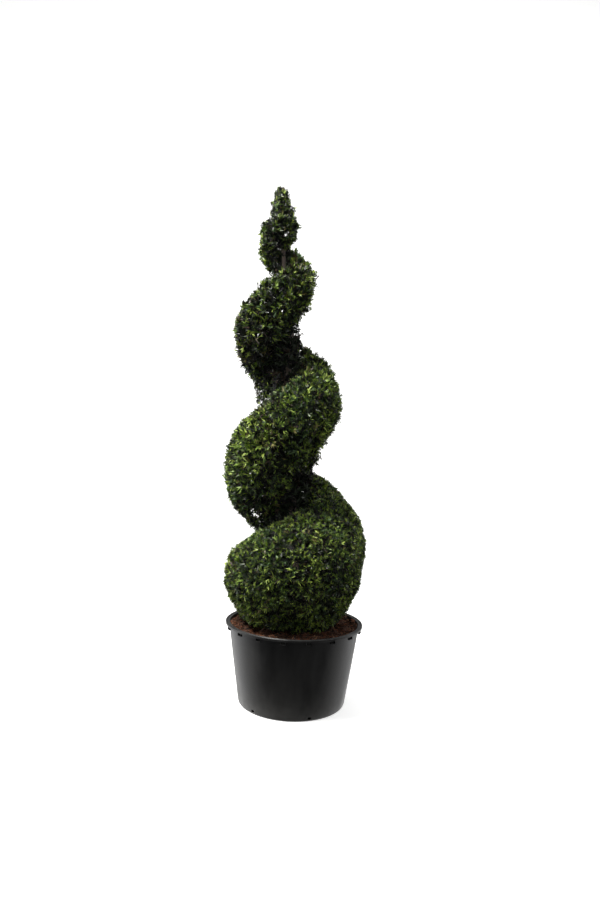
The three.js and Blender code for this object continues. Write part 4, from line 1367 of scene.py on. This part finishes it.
SPRAY_TOTAL = 0
TUFTS = []
for index in range(MASS_COUNT):
    rng = np.random.default_rng(400 + index)
    shell, ends = grow_shell(index, rng)
    TUFTS.append(ends)
    sets = [shell, grow_inside(index, rng), grow_column(index, rng), *grow_wisps(index + 1, rng)]
    count = dress(f"sprays_{index + 1:02d}", merged(sets), rng, f"mass_{index + 1:02d}")
    SPRAY_TOTAL += count
    print("mass", index + 1, "tufts", len(ends), "sprays", count, "triangles", count * FACES_PER_SPRAY)
print("sprays", SPRAY_TOTAL, "triangles", SPRAY_TOTAL * FACES_PER_SPRAY, "tufts", sum(map(len, TUFTS)))

# %% [markdown]
# ## Branches and twigs
#
# Inside each mass the stem forks into branches that spread under the clipped surface, and every
# tuft hangs on a thin twig from the nearest branch. They show in the hollows between the passes of
# the ribbon, and through the thin places of the upper masses.

# %% The inner branches
BRANCH_REACH = 0.4                 # reach of a ribbon with the steps given here, in metres
BRANCH_STEP, BRANCH_LEAST, BRANCH_DEPTH = 0.16, 0.05, 0.46     # the depth as a share of the reach
TWIG_STEP, TWIG_LEAST, TWIG_DEPTH = 0.085, 0.03, 0.075
TWIG_ROOT, TWIG_TIP = 0.0013, 0.0006         # radius


def nearest(points, targets):
    """For each point the number of the nearest target."""
    gaps = np.linalg.norm(points[:, None] - targets[None], axis=2)
    return gaps.argmin(1)


def sagging(starts, ends, lift, rng):
    """The bend point of a limb between two points: lifted or sunk, and a little to one side."""
    span = np.linalg.norm(ends - starts, axis=1, keepdims=True)
    return (starts + ends) / 2 + span * (lift * UP + rng.normal(0, 0.08, starts.shape))


def grow_branches(index, tufts, rng):
    """Limbs from the bough's tip out to the tufts, in three orders of thickness. Each order starts
    at the nearest ends of the one before it."""
    _, tip, _, radius = SEATS[index]
    reach = float(station(mass_middle(index), 1))
    inset, share = BRANCH_DEPTH * reach, reach / BRANCH_REACH
    turn, side, ball = surface_rows(index, max(BRANCH_STEP * share, BRANCH_LEAST), inset, rng)
    inner = ribbon_point(turn, side * 0.8, inset, ball)
    depth = min(TWIG_DEPTH, DEPTH_SHARE * reach)
    turn, side, ball = surface_rows(index, max(TWIG_STEP * share, TWIG_LEAST), depth, rng)
    outer = ribbon_point(turn, side, depth, ball)
    stem = np.repeat(tip[None], len(inner), 0)
    inner_near, outer_near = inner[nearest(outer, inner)], outer[nearest(tufts, outer)]
    thick = radius * BOUGH_TIP
    orders = [
        (stem, inner, -0.12, thick * 0.8, thick * 0.4, 5, 6),
        (inner_near, outer, -0.06, thick * 0.4, TWIG_ROOT, 4, 3),
        (outer_near, tufts, 0.0, TWIG_ROOT, TWIG_TIP, 3, 1),
    ]
    return joined([
        limbs(starts, sagging(starts, ends, lift, rng), ends, root, tip_radius, sides, steps)
        for starts, ends, lift, root, tip_radius, sides, steps in orders
    ])


BOUGH_SIDES, BOUGH_STEPS = 12, 8
BOUGH_SWELL, BOUGH_LAP = 1.25, 0.004         # its root's radius, and its overlap with the branches


def bough_surface(index):
    """The bough itself, from inside the trunk to where its branches fork, closed at both ends."""
    start, tip, end, radius = SEATS[index]
    ahead = unit(end - start) * BOUGH_LAP
    points, tube = limbs(
        start[None], ((start + tip) / 2)[None], (tip + ahead)[None],
        radius * BOUGH_SWELL, radius * BOUGH_TIP, BOUGH_SIDES, BOUGH_STEPS,
    )
    cap = np.array([[0, k, k + 1, k + 2] for k in range(1, BOUGH_SIDES - 2, 2)])
    return points, np.concatenate([tube, cap, cap[:, ::-1] + BOUGH_SIDES * BOUGH_STEPS])


rng = np.random.default_rng(90)
boughs = build_mesh("boughs", *joined([bough_surface(i) for i in range(MASS_COUNT)]))
branches = build_mesh("branches", *joined([grow_branches(i, TUFTS[i], rng) for i in range(MASS_COUNT)]))
for piece in (boughs, branches):
    piece.data.materials.append(bark)
    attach(piece, "root")
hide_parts(*[f"bough_{i + 1:02d}" for i in range(MASS_COUNT)])
print("branch faces", len(branches.data.polygons))

# %% [markdown]
# ## The leader
#
# Above the last pass of the ribbon the trunk's tip carries an upright spindle of sprays, which the
# grower leaves to become the next turn. Its sprays point mostly up, more so near the tip.

# %% The leader's sprays
LEADER_LOW, LEADER_TIP = 3.388, 3.614
LEADER_REACH, LEADER_SKIRT, LEADER_SKIRT_HEIGHT, LEADER_BLUNTNESS = 0.062, 0.026, 0.025, 2.4
LEADER_SPRAYS, LEADER_LENGTH = 1450, 0.035
# The leader's light range is painted light: it sets how light its sprays' colours are dealt.
LEADER_SIZES, LEADER_PAINTED_LIGHT, LEADER_CORE = (0.7, 1.2), (-0.35, 0.95), 0.004
LEADER_MARGINS = (0.005, 0.014)    # between the sprays' tips and the spindle's foot and top


def leader_reach(z):
    """Widest at the foot and drawn in to a blunt point by the root of 1 - share^bluntness, with a
    skirt at the foot that thins out upward."""
    share = np.clip((z - LEADER_LOW) / (LEADER_TIP - LEADER_LOW), 0, 1)
    skirt = LEADER_SKIRT * np.exp(-(z - LEADER_LOW) / LEADER_SKIRT_HEIGHT)
    return LEADER_REACH * np.sqrt(1 - share**LEADER_BLUNTNESS) + skirt


def grow_leader(rng):
    """Sprays round the tip, placed by their own tips on the spindle: its reach is varied by knobs
    that go round and up it, and a tip lies a little inside that. Directions are up and outward."""
    z = rng.uniform(LEADER_LOW + LEADER_MARGINS[0], LEADER_TIP - LEADER_MARGINS[1], LEADER_SPRAYS)
    share = (z - LEADER_LOW) / (LEADER_TIP - LEADER_LOW)
    angle = rng.uniform(0, TURN, LEADER_SPRAYS)
    outward = polar(1.0, angle, 0.0)
    knobs = 1 + 0.2 * np.sin(3 * angle + z * 75) + 0.16 * np.sin(2 * angle - z * 140)
    rho = leader_reach(z) * knobs * (1.16 - rng.exponential(0.25, LEADER_SPRAYS))
    tip = polar(np.maximum(rho, LEADER_CORE), angle, z, line_x(z))
    direction = spread_about(unit(outward + UP * (0.6 + 2.2 * share)[:, None]), 0.8, rng)
    length = LEADER_LENGTH * rng.uniform(*LEADER_SIZES, LEADER_SPRAYS)
    facing = spread_about(outward, 1.2, rng)
    light = rng.uniform(*LEADER_PAINTED_LIGHT, LEADER_SPRAYS)
    return spray_set(rng, tip - direction * length[:, None], direction, facing, length, light)


rng = np.random.default_rng(77)
sprays = merged([grow_leader(rng), *grow_wisps(MASS_COUNT + 1, rng)])
SPRAY_TOTAL += dress("sprays_leader", sprays, rng, "leader")
print("sprays in all", SPRAY_TOTAL)
